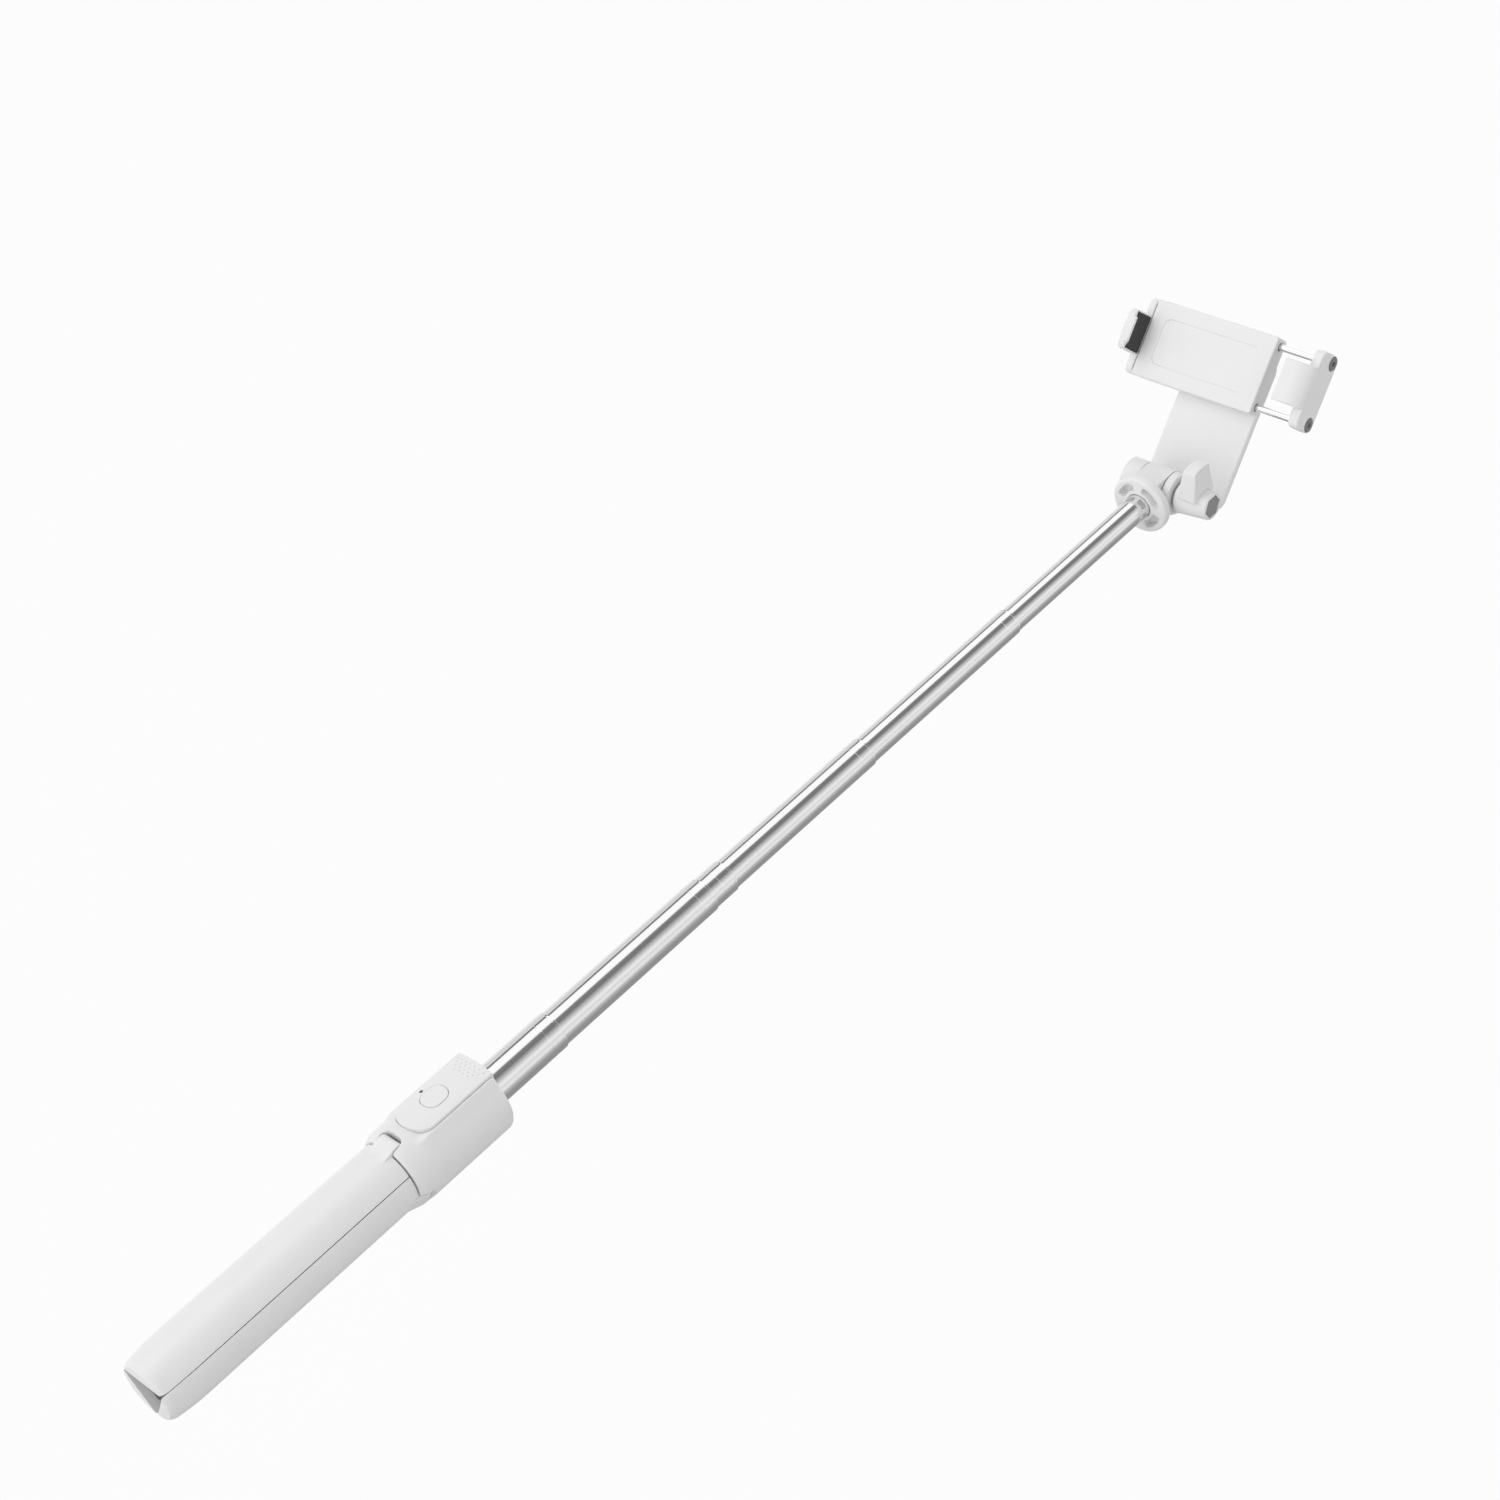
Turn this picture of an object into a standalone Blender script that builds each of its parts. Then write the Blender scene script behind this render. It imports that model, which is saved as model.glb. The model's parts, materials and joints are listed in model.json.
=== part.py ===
"""Selfie stick: three folding legs, a telescopic pole, a tilting phone clamp and a lift-out remote."""

import math

import bmesh
import bpy
from mathutils import Matrix

MM = 0.001

# Clearances
SEAT_GAP = 0.3 * MM
TUBE_GAP = 0.12 * MM
SOCKET_GAP = 0.15 * MM
PIN_GAP = 0.15 * MM
NOTCH_GAP = 0.35 * MM
KNUCKLE_GAP = 0.5 * MM
SPRING_GAP = 0.35 * MM
SWING_GAP = 0.8 * MM
WING_GAP = 0.4 * MM
JAW_STOP_GAP = 0.7 * MM
UNION_INSET = 0.1 * MM

# Telescopic pole, outermost tube first
POLE_DIAMETER = 13.6 * MM
TUBE_STEP = 0.8 * MM
TUBE_LENGTH = 104.0 * MM
TUBE_OUT = [30.7 * MM, 71.9 * MM, 10.4 * MM, 71.7 * MM, 81.2 * MM, 78.2 * MM]
PLUG_THICKNESS = 2.0 * MM

# Guide sleeve and bush of the pole
SLEEVE_WALL = 1.5 * MM
SLEEVE_RECESS = 0.6 * MM
BUSH_WALL = 0.6 * MM
BUSH_LENGTH = 4.0 * MM

# Legs that close into the handle
LEG_COUNT = 3
LEG_LENGTH = 97.9 * MM
LEG_WALL = 2.2 * MM
LEG_SEAM = 0.5 * MM
FOOT_THICKNESS = 3.0 * MM
FOOT_INNER_RADIUS = 4.0 * MM
FOOT_EDGE = 1.3 * MM
KNUCKLE_RADIUS = 1.9 * MM
TONGUE_WIDTH = 7.8 * MM
PIN_DIAMETER = 1.8 * MM
PIN_LENGTH = 12.0 * MM
PIN_RISE = 2.5 * MM
PIN_COVER = 0.8 * MM

# Head above the handle
HEAD_LENGTH = 39.8 * MM
HEAD_STEP = 1.8 * MM
HEAD_WALL = 2.3 * MM
HEAD_TOP_WALL = 3.0 * MM
HEAD_TOP_EDGE = 2.0 * MM
HEAD_LOW_EDGE = 0.7 * MM
SKIRT_WALL = 3.5 * MM
SHOULDER_WALL = 0.5 * MM
SHOULDER_DROP = 0.9 * MM
SHOULDER_RUN = 6.0 * MM
SHOULDER_SINK = 0.4 * MM

# Remote in the head
REMOTE_CHIN = 8.5 * MM
REMOTE_WIDTH = 15.3 * MM
REMOTE_END = 6.4 * MM
REMOTE_PROUD = 0.9 * MM
REMOTE_CROWN = 25.0 * MM
REMOTE_WALL = 1.2 * MM
COVER_THICKNESS = 0.9 * MM
BUTTON_UP = 13.7 * MM
BUTTON_LENGTH = 9.0 * MM
BUTTON_MARGIN = 3.85 * MM
BUTTON_FLAT = 0.3 * MM
BUTTON_PROUD = 0.25 * MM
BUTTON_TRAVEL = 0.5 * MM
LED_UP = 13.0 * MM
LED_INSET = 1.15 * MM
LED_DIAMETER = 1.0 * MM
BOARD_UP = 7.7 * MM
BOARD_MARGIN = 0.65 * MM
BOARD_THICKNESS = 0.8 * MM
SWITCH_SIZE = 6.0 * MM
SWITCH_HEIGHT = 1.6 * MM
CELL_DIAMETER = 10.0 * MM
CELL_THICKNESS = 2.0 * MM

# Collar on the last tube
FLANGE_RADIUS = 11.7 * MM
FLANGE_THICKNESS = 4.0 * MM
FLANGE_EDGE = 1.2 * MM
RECESS_COUNT = 4
RECESS_DEPTH = 2.4 * MM
RECESS_WALL = 1.4 * MM
RECESS_WIDTH = 3.0 * MM
RECESS_ANGLE = math.radians(64)
SOCKET_DEPTH = 8.0 * MM
LUG_RADIUS = 8.2 * MM
LUG_WALL = 0.65 * MM

# Tilt hinge, counted along its axis from the stick's centre towards the knob
REST_TILT = math.radians(45)
EAR_LEFT = 7.1 * MM
EAR_RIGHT = 3.3 * MM
WEB_TOP = 7.6 * MM
WEB_LOW = 1.5 * MM
BOLT_DIAMETER = 4.0 * MM
BOLT_HEX = 4.27 * MM
BOLT_HEX_HEIGHT = 3.1 * MM
NUT_HEX = 4.04 * MM
NUT_HEIGHT = 3.2 * MM
WASHER_RADIUS = 5.4 * MM
WASHER_THICKNESS = 0.8 * MM
KNOB_LENGTH = 13.4 * MM
KNOB_ROOT_RADIUS = 6.5 * MM
KNOB_END_RADIUS = 5.3 * MM
KNOB_EDGE = 0.8 * MM
WING_ROOT_UP = 1.7 * MM
WING_TIP_UP = 4.4 * MM
WING_TOP_DOWN = 3.7 * MM
WING_ROOT_WIDTH = 12.6 * MM
WING_TIP_WIDTH = 8.0 * MM

# Arm plate and clamp, u up the clamp from the hinge, n out of its front
SWIVEL_UP = 51.9 * MM
ARM_WIDTH = 35.0 * MM
ARM_THICKNESS = 3.0 * MM
ARM_DROP = 2.0 * MM
ARM_OVER = 8.0 * MM
ARM_CORNER = 6.0 * MM
SCREW_DIAMETER = 3.2 * MM
SCREW_HEAD_RADIUS = 3.6 * MM
SCREW_HEAD_HEIGHT = 1.8 * MM
SCREW_GRIP = 4.6 * MM
SLOT_WIDTH = 0.9 * MM
SLOT_DEPTH = 0.8 * MM
CLAMP_FRONT = 9.4 * MM
CLAMP_DEPTH = 7.2 * MM
CLAMP_HEIGHT = 30.0 * MM
CLAMP_EDGE = 0.6 * MM
CLAMP_END_WALL = 3.0 * MM

# Jaws at rest, opened for a phone
JAW_OPENING = 71.2 * MM
JAW_CLOSE = 18.0 * MM
PAD_THICKNESS = 1.3 * MM
PAD_INSET = 1.0 * MM
JAW_WIDTH = 16.0 * MM
JAW_CORNER = 3.0 * MM
FIXED_THICKNESS = 3.0 * MM
FIXED_RISE = 11.6 * MM
FIXED_LIP = 0.7 * MM
FIXED_LIP_HEIGHT = 1.4 * MM
SLIDER_THICKNESS = 4.1 * MM
SLIDER_RISE = 5.4 * MM
HOOK_RISE = 5.2 * MM
HOOK_REACH = 11.1 * MM
HOOK_FLAT = 2.8 * MM
HOOK_TIP = 1.6 * MM
LINING_TIP = 0.8 * MM

# Guide rods, caps, stops and springs
ROD_INSET = 3.15 * MM
ROD_DIAMETER = 2.5 * MM
CAP_RADIUS = 2.5 * MM
CAP_THICKNESS = 1.4 * MM
CAP_PROUD = 0.2 * MM
STOP_THICKNESS = 1.2 * MM
WIRE_RADIUS = 0.22 * MM
SPRING_TURNS = 8
SPRING_POINTS = 10

# Facets of round pieces
FINE = 48
ROUND = 32
SMALL = 20
CORNER_STEPS = 5

# Sizes that follow from those above
TUBE_COUNT = len(TUBE_OUT)
POLE_RADIUS = POLE_DIAMETER / 2
TUBE_WALL = TUBE_STEP / 2 - TUBE_GAP
LAST_TUBE_RADIUS = POLE_RADIUS - (TUBE_COUNT - 1) * TUBE_STEP / 2
SLEEVE_BORE = POLE_RADIUS + SEAT_GAP
SLEEVE_RADIUS = SLEEVE_BORE + SLEEVE_WALL
PIN_RADIUS = PIN_DIAMETER / 2
PIN_CIRCLE = SLEEVE_RADIUS + KNUCKLE_GAP + KNUCKLE_RADIUS
LEG_RADIUS = PIN_CIRCLE + PIN_COVER
LEG_CHORD = LEG_RADIUS * math.cos(math.pi / LEG_COUNT) + LEG_SEAM / 2
HEAD_RADIUS = LEG_RADIUS + HEAD_STEP
HEAD_BOTTOM = LEG_LENGTH + SWING_GAP
HEAD_TOP = HEAD_BOTTOM + HEAD_LENGTH
PIN_X = HEAD_BOTTOM + PIN_RISE
NOTCH_TOP = PIN_X + KNUCKLE_RADIUS + SWING_GAP
REMOTE_LOW = HEAD_BOTTOM + REMOTE_CHIN
REMOTE_BACK = SLEEVE_RADIUS + SEAT_GAP
REMOTE_INSIDE = REMOTE_BACK + COVER_THICKNESS + SEAT_GAP
REMOTE_TOP = HEAD_RADIUS + REMOTE_PROUD
CROWN_AXIS = REMOTE_TOP - REMOTE_CROWN
REMOTE_EDGE = CROWN_AXIS + math.sqrt(REMOTE_CROWN**2 - (REMOTE_WIDTH / 2) ** 2)
SWITCH_TOP = REMOTE_INSIDE + BOARD_THICKNESS + SEAT_GAP + SWITCH_HEIGHT
BUTTON_WIDTH = REMOTE_WIDTH - 2 * BUTTON_MARGIN
BUTTON_CORNER = BUTTON_WIDTH / 2 - BUTTON_FLAT
LED_SIDE = REMOTE_WIDTH / 2 - REMOTE_WALL - LED_INSET
BOARD_WIDTH = REMOTE_WIDTH - 2 * (REMOTE_WALL + BOARD_MARGIN)
CELL_X = HEAD_TOP - REMOTE_WALL - SEAT_GAP - CELL_DIAMETER / 2
FLANGE_X = HEAD_TOP + sum(TUBE_OUT)
HINGE_X = FLANGE_X + FLANGE_THICKNESS + LUG_RADIUS + SWING_GAP
LUG_WIDTH = 2 * (LAST_TUBE_RADIUS + SOCKET_GAP + LUG_WALL)
BOLT_RADIUS = BOLT_DIAMETER / 2
EAR_START = LUG_WIDTH / 2 + SEAT_GAP
LEFT_END = EAR_START + EAR_LEFT
RIGHT_END = EAR_START + EAR_RIGHT
WASHER_START = RIGHT_END + SEAT_GAP
KNOB_START = WASHER_START + WASHER_THICKNESS + SEAT_GAP
KNOB_END = KNOB_START + KNOB_LENGTH
CLAMP_BACK = CLAMP_FRONT + CLAMP_DEPTH
CLAMP_TOP = SWIVEL_UP + CLAMP_HEIGHT / 2
ARM_FRONT = CLAMP_BACK + SEAT_GAP
ARM_BACK = ARM_FRONT + ARM_THICKNESS
WING_REACH = ARM_FRONT - WING_GAP
FIXED_FACE = JAW_OPENING / 2 + SEAT_GAP
SLIDER_FACE = JAW_OPENING / 2 + PAD_THICKNESS + SEAT_GAP
SLIDER_BACK = SLIDER_FACE + SLIDER_THICKNESS
CLAMP_RIGHT = SLIDER_FACE - JAW_CLOSE - JAW_STOP_GAP
ROD_SPREAD = CLAMP_HEIGHT / 2 - ROD_INSET
ROD_RADIUS = ROD_DIAMETER / 2
ROD_DEPTH = CLAMP_FRONT + CLAMP_DEPTH / 2
ROD_INNER = -JAW_OPENING / 2 + JAW_CLOSE + STOP_THICKNESS + SEAT_GAP + JAW_STOP_GAP
CAP_SEAT = SLIDER_BACK + CAP_PROUD - CAP_THICKNESS - SEAT_GAP
SPRING_RADIUS = ROD_RADIUS + SPRING_GAP + WIRE_RADIUS
BORE_RADIUS = SPRING_RADIUS + WIRE_RADIUS + SPRING_GAP
BORE_END = CLAMP_RIGHT - CLAMP_END_WALL
STICK_REACH = HINGE_X + (CLAMP_TOP + CLAMP_BACK) * math.cos(REST_TILT)
AXIS_HEIGHT = max(HEAD_RADIUS, (ARM_DROP + ARM_BACK) * math.sin(REST_TILT))

# Ways to turn a shape drawn in its own X and Y
FLAT = Matrix.Identity(4)
ALONG = Matrix.Rotation(math.pi / 2, 4, "Y")
SIDEWAYS = Matrix.Rotation(math.pi / 2, 4, "X")
ENDWISE = Matrix(((0, 0, -1, 0), (-1, 0, 0, 0), (0, 1, 0, 0), (0, 0, 0, 1)))

# Colour, roughness and metallic value of each finish
FINISHES = {
    "white_plastic": ((0.86, 0.86, 0.87, 1.0), 0.42, 0.0),
    "grey_plastic": ((0.33, 0.33, 0.34, 1.0), 0.5, 0.0),
    "grey_metal": ((0.42, 0.42, 0.43, 1.0), 0.45, 0.6),
    "dark_rubber": ((0.09, 0.09, 0.095, 1.0), 0.8, 0.0),
    "polished_steel": ((0.78, 0.78, 0.79, 1.0), 0.16, 1.0),
    "spring_steel": ((0.55, 0.55, 0.56, 1.0), 0.3, 1.0),
    "circuit_board": ((0.05, 0.22, 0.11, 1.0), 0.5, 0.0),
    "indicator": ((0.2, 0.32, 0.5, 1.0), 0.2, 0.0),
}


def clear_scene():
    for old in list(bpy.data.objects):
        bpy.data.objects.remove(old, do_unlink=True)


def new_collection(name):
    group = bpy.data.collections.new(name)
    bpy.context.scene.collection.children.link(group)
    return group


def new_material(name, colour, roughness, metallic):
    material = bpy.data.materials.new(name)
    material.use_nodes = True
    shader = material.node_tree.nodes["Principled BSDF"]
    shader.inputs["Base Color"].default_value = colour
    shader.inputs["Roughness"].default_value = roughness
    shader.inputs["Metallic"].default_value = metallic
    return material


def empty(name, parent=None, location=(0, 0, 0), rotation=(0, 0, 0)):
    """A frame that pieces are placed in."""
    frame = bpy.data.objects.new(name, None)
    PARTS.objects.link(frame)
    frame.parent = parent
    frame.location = location
    frame.rotation_euler = rotation
    return frame


def part(name, mesh, frame, finish):
    """A piece of the stick, in its frame and with its finish."""
    piece = bpy.data.objects.new(name, mesh)
    PARTS.objects.link(piece)
    piece.parent = frame
    if not mesh.materials:
        mesh.materials.append(MATERIALS[finish])
    return piece


def tool(name, mesh, frame):
    """A hidden shape that cuts, joins or trims a piece."""
    shape = bpy.data.objects.new(name, mesh)
    TOOLS.objects.link(shape)
    shape.parent = frame
    shape.hide_render = True
    shape.display_type = "WIRE"
    return shape


def combine(piece, shape, operation):
    change = piece.modifiers.new(shape.name, "BOOLEAN")
    change.object = shape
    change.operation = operation
    change.solver = "EXACT"


def cut(piece, *shapes):
    for shape in shapes:
        combine(piece, shape, "DIFFERENCE")


def join(piece, *shapes):
    for shape in shapes:
        combine(piece, shape, "UNION")


def trim(piece, shape):
    combine(piece, shape, "INTERSECT")


def evaluated_mesh(source):
    """The mesh that an object has after its modifiers."""
    bpy.context.view_layer.update()
    graph = bpy.context.evaluated_depsgraph_get()
    return bpy.data.meshes.new_from_object(source.evaluated_get(graph))


def shade(mesh):
    mesh.shade_smooth()
    mesh.set_sharp_from_angle(angle=math.radians(30))
    return mesh


def arc(centre, radii, start, end, steps=CORNER_STEPS):
    """Points of an elliptical arc, with the angles in degrees."""
    angles = [math.radians(start + (end - start) * k / steps) for k in range(steps + 1)]
    return [(centre[0] + radii[0] * math.cos(a), centre[1] + radii[1] * math.sin(a)) for a in angles]


def rounded_box(low, high, radius):
    """Outline of a rectangle with round corners."""
    left, right = low[0] + radius, high[0] - radius
    bottom, top = low[1] + radius, high[1] - radius
    corners = [((right, top), 0), ((left, top), 90), ((left, bottom), 180), ((right, bottom), 270)]
    return [point for centre, start in corners for point in arc(centre, (radius, radius), start, start + 90)]


def plate(outline, low, high, turn=FLAT):
    """A flat outline with thickness from low to high, as one closed mesh."""
    curve = bpy.data.curves.new("outline", "CURVE")
    curve.dimensions = "2D"
    curve.fill_mode = "BOTH"
    curve.extrude = (high - low) / 2
    spline = curve.splines.new("POLY")
    spline.points.add(len(outline) - 1)
    for point, (x, y) in zip(spline.points, outline):
        point.co = (x, y, 0, 1)
    spline.use_cyclic_u = True
    source = bpy.data.objects.new("outline", curve)
    bpy.context.scene.collection.objects.link(source)
    mesh = evaluated_mesh(source)
    bpy.data.objects.remove(source)
    weld(mesh)
    mesh.transform(turn @ Matrix.Translation((0, 0, (low + high) / 2)))
    return shade(mesh)


def weld(mesh):
    shape = bmesh.new()
    shape.from_mesh(mesh)
    bmesh.ops.remove_doubles(shape, verts=shape.verts, dist=1e-6)
    bmesh.ops.recalc_face_normals(shape, faces=shape.faces)
    shape.to_mesh(mesh)
    shape.free()


def drum(radius, low, high, turn=FLAT, centre=(0, 0, 0), sides=SMALL):
    """A round bar, or a hexagon with six sides, from low to high along its own axis."""
    mesh = bpy.data.meshes.new("drum")
    shape = bmesh.new()
    bmesh.ops.create_cone(
        shape, cap_ends=True, segments=sides, radius1=radius, radius2=radius, depth=high - low,
        matrix=Matrix.Translation(centre) @ turn @ Matrix.Translation((0, 0, (low + high) / 2)))
    shape.to_mesh(mesh)
    shape.free()
    return shade(mesh)


def block(low, high):
    """A box between two corners."""
    size = [b - a for a, b in zip(low, high)]
    middle = [(a + b) / 2 for a, b in zip(low, high)]
    mesh = bpy.data.meshes.new("block")
    shape = bmesh.new()
    bmesh.ops.create_cube(shape, size=1, matrix=Matrix.Translation(middle) @ Matrix.Diagonal((*size, 1)))
    shape.to_mesh(mesh)
    shape.free()
    return mesh


def soften(piece, width):
    """Rounded edges on a box."""
    bevel = piece.modifiers.new("rounded_edges", "BEVEL")
    bevel.width = width
    bevel.segments = 2


def turned(profile, sides, turn=ALONG):
    """A profile of radius and height, turned about its axis, as one closed mesh."""
    mesh = bpy.data.meshes.new("profile")
    edges = [(k, (k + 1) % len(profile)) for k in range(len(profile))]
    mesh.from_pydata([(radius, 0, height) for radius, height in profile], edges, [])
    source = bpy.data.objects.new("profile", mesh)
    bpy.context.scene.collection.objects.link(source)
    screw = source.modifiers.new("turn", "SCREW")
    screw.axis = "Z"
    screw.angle = 2 * math.pi
    screw.steps = sides
    screw.render_steps = sides
    screw.use_merge_vertices = True
    screw.merge_threshold = 1e-6
    result = evaluated_mesh(source)
    bpy.data.objects.remove(source)
    result.transform(turn)
    return shade(result)


def ring(inner, outer, low, high):
    """Profile of a plain ring, outer side from top to bottom."""
    return [(outer, high), (outer, low), (inner, low), (inner, high)]


def tube_top(index):
    """Where a tube ends at rest. The last one ends in the collar's socket."""
    top = HEAD_TOP + sum(TUBE_OUT[:index + 1])
    return top + SOCKET_DEPTH if index == TUBE_COUNT - 1 else top


def make_pole(stick):
    for index in range(TUBE_COUNT):
        radius = POLE_RADIUS - index * TUBE_STEP / 2
        top = tube_top(index)
        profile = ring(radius - TUBE_WALL, radius, top - TUBE_LENGTH, top)
        part(f"tube_{index + 1}", turned(profile, ROUND), stick, "polished_steel")
    plug_top = tube_top(0) - TUBE_LENGTH - SEAT_GAP
    plug = drum(POLE_RADIUS, plug_top - PLUG_THICKNESS, plug_top, ALONG, sides=ROUND)
    part("pole_end_plug", plug, stick, "grey_plastic")


def make_pole_guide(stick):
    bush_bore = POLE_RADIUS + SOCKET_GAP
    bush_radius = bush_bore + BUSH_WALL
    seat_radius = bush_radius + SEAT_GAP
    sleeve_top = HEAD_TOP - SLEEVE_RECESS
    seat = sleeve_top - BUSH_LENGTH
    sleeve = [
        (SLEEVE_RADIUS, sleeve_top), (SLEEVE_RADIUS, HEAD_BOTTOM + SWING_GAP),
        (SLEEVE_BORE, HEAD_BOTTOM + SWING_GAP), (SLEEVE_BORE, seat), (seat_radius, seat),
        (seat_radius, sleeve_top)]
    part("pole_guide_sleeve", turned(sleeve, ROUND), stick, "white_plastic")
    bush = ring(bush_bore, bush_radius, seat + SEAT_GAP, seat + BUSH_LENGTH)
    part("pole_guide_bush", turned(bush, ROUND), stick, "white_plastic")


def head_shoulder(stick):
    """Flat flanks that carry the round head up to the edges of the remote."""
    side = REMOTE_WIDTH / 2 + SEAT_GAP + SHOULDER_WALL
    top = REMOTE_EDGE - SHOULDER_DROP
    touch = math.atan2(side, top) + math.acos(HEAD_RADIUS / math.hypot(side, top))
    root_radius = HEAD_RADIUS - SHOULDER_SINK
    root_side, root = root_radius * math.sin(touch), root_radius * math.cos(touch)
    across = [(-root, -root_side), (-top, -side), (-top, side), (-root, root_side)]
    high = HEAD_TOP - HEAD_TOP_EDGE / 2
    low = REMOTE_LOW - SHOULDER_RUN / 2
    rise = [(low, root), (low + SHOULDER_RUN, top), (high, top), (high, root)]
    shoulder = tool("head_shoulder", plate(across, low, high, ALONG), stick)
    trim(shoulder, tool("shoulder_rise", plate(rise, -HEAD_RADIUS, HEAD_RADIUS, SIDEWAYS), stick))
    hollow = drum(HEAD_RADIUS - HEAD_WALL / 2, 0, 2 * HEAD_TOP, ALONG, sides=FINE)
    cut(shoulder, tool("shoulder_hollow", hollow, stick))
    return shoulder


def make_head(stick, leg_frames):
    edge, low = HEAD_TOP_EDGE, HEAD_LOW_EDGE
    skirt_radius = HEAD_RADIUS - SKIRT_WALL
    inner_radius = HEAD_RADIUS - HEAD_WALL
    hole_radius = SLEEVE_RADIUS + SEAT_GAP
    skirt_top = NOTCH_TOP + SWING_GAP
    ceiling = HEAD_TOP - HEAD_TOP_WALL
    profile = arc((HEAD_RADIUS - edge, HEAD_TOP - edge), (edge, edge), 90, 0)
    profile += arc((HEAD_RADIUS - low, HEAD_BOTTOM + low), (low, low), 0, -90, 3)
    profile += [
        (skirt_radius, HEAD_BOTTOM), (skirt_radius, skirt_top), (inner_radius, skirt_top + SWING_GAP),
        (inner_radius, ceiling), (hole_radius, ceiling), (hole_radius, HEAD_TOP)]
    housing = part("head_housing", turned(profile, FINE), stick, "white_plastic")
    join(housing, head_shoulder(stick))
    pocket = d_outline(REMOTE_LOW - SEAT_GAP, HEAD_TOP + HEAD_STEP, REMOTE_WIDTH / 2 + SEAT_GAP)
    above = REMOTE_TOP + HEAD_STEP
    cut(housing, tool("remote_pocket", plate(pocket, REMOTE_BACK - SEAT_GAP, above), stick))
    half = TONGUE_WIDTH / 2 + NOTCH_GAP
    floor = PIN_CIRCLE - KNUCKLE_RADIUS - KNUCKLE_GAP
    for number, frame in enumerate(leg_frames, 1):
        notch = block((HEAD_BOTTOM - SWING_GAP, -half, floor), (NOTCH_TOP, half, above))
        reach = PIN_LENGTH / 2 + PIN_GAP
        bore = drum(PIN_RADIUS + PIN_GAP, -reach, reach, SIDEWAYS, (PIN_X, 0, PIN_CIRCLE))
        cut(housing, tool(f"leg_notch_{number}", notch, frame), tool(f"pin_bore_{number}", bore, frame))


def leg_mesh(frame):
    """One leg: a third of the round handle with a foot and a hinge tongue, drawn about its pin."""
    edge = FOOT_EDGE
    inner = LEG_RADIUS - LEG_WALL
    profile = [(LEG_RADIUS, PIN_X)] + arc((LEG_RADIUS - edge, edge), (edge, edge), 0, -90, 4)
    profile += [
        (FOOT_INNER_RADIUS, 0), (FOOT_INNER_RADIUS, FOOT_THICKNESS), (inner, FOOT_THICKNESS), (inner, PIN_X)]
    blank = tool("leg_blank", turned(profile, FINE), frame)
    side, half = 2 * LEG_RADIUS, TONGUE_WIDTH / 2
    outline = [
        (-SWING_GAP, -side), (LEG_LENGTH, -side), (LEG_LENGTH, -half), (PIN_X + SWING_GAP, -half),
        (PIN_X + SWING_GAP, half), (LEG_LENGTH, half), (LEG_LENGTH, side), (-SWING_GAP, side)]
    third = tool("leg_third", plate(outline, LEG_CHORD, side), frame)
    reach = half - UNION_INSET
    pivot = (PIN_X, 0, PIN_CIRCLE)
    knuckle = tool("leg_knuckle", drum(KNUCKLE_RADIUS, -reach, reach, SIDEWAYS, pivot), frame)
    bore = tool("leg_bore", drum(PIN_RADIUS + PIN_GAP, -side, side, SIDEWAYS, pivot), frame)
    trim(blank, third)
    join(blank, knuckle)
    cut(blank, bore)
    mesh = evaluated_mesh(blank)
    mesh.transform(Matrix.Translation([-place for place in pivot]))
    for shape in (blank, third, knuckle, bore):
        bpy.data.objects.remove(shape)
    return shade(mesh)


def make_legs(leg_frames):
    mesh = leg_mesh(leg_frames[0])
    for number, frame in enumerate(leg_frames, 1):
        pivot = empty(f"leg_pivot_{number}", frame, (PIN_X, 0, PIN_CIRCLE))
        part(f"leg_{number}", mesh, pivot, "white_plastic")
        pin = drum(PIN_RADIUS, -PIN_LENGTH / 2, PIN_LENGTH / 2, SIDEWAYS)
        part(f"leg_pin_{number}", pin, pivot, "polished_steel")


def d_outline(low, high, half):
    """Outline of the remote: round at its low end, square at the top."""
    end = REMOTE_END * half / (REMOTE_WIDTH / 2)
    return [(high, -half), (high, half)] + arc((low + end, 0), (end, half), 90, 270, 16)


def crowned(piece, frame, outline, low, radius):
    """Trim a shape drawn as an outline to the remote's round front, at the given radius."""
    crown = drum(radius, 0, 2 * HEAD_TOP, ALONG, (0, 0, CROWN_AXIS), FINE)
    shape = piece(plate(outline, low, 2 * REMOTE_TOP))
    trim(shape, tool(shape.name + "_crown", crown, frame))
    return shape


def button_outline(centre, grow):
    """Outline of the button, or of its hole, grown by a gap all round."""
    along, across = BUTTON_LENGTH / 2 + grow, BUTTON_WIDTH / 2 + grow
    return rounded_box((centre - along, -across), (centre + along, across), BUTTON_CORNER + grow)


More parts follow.
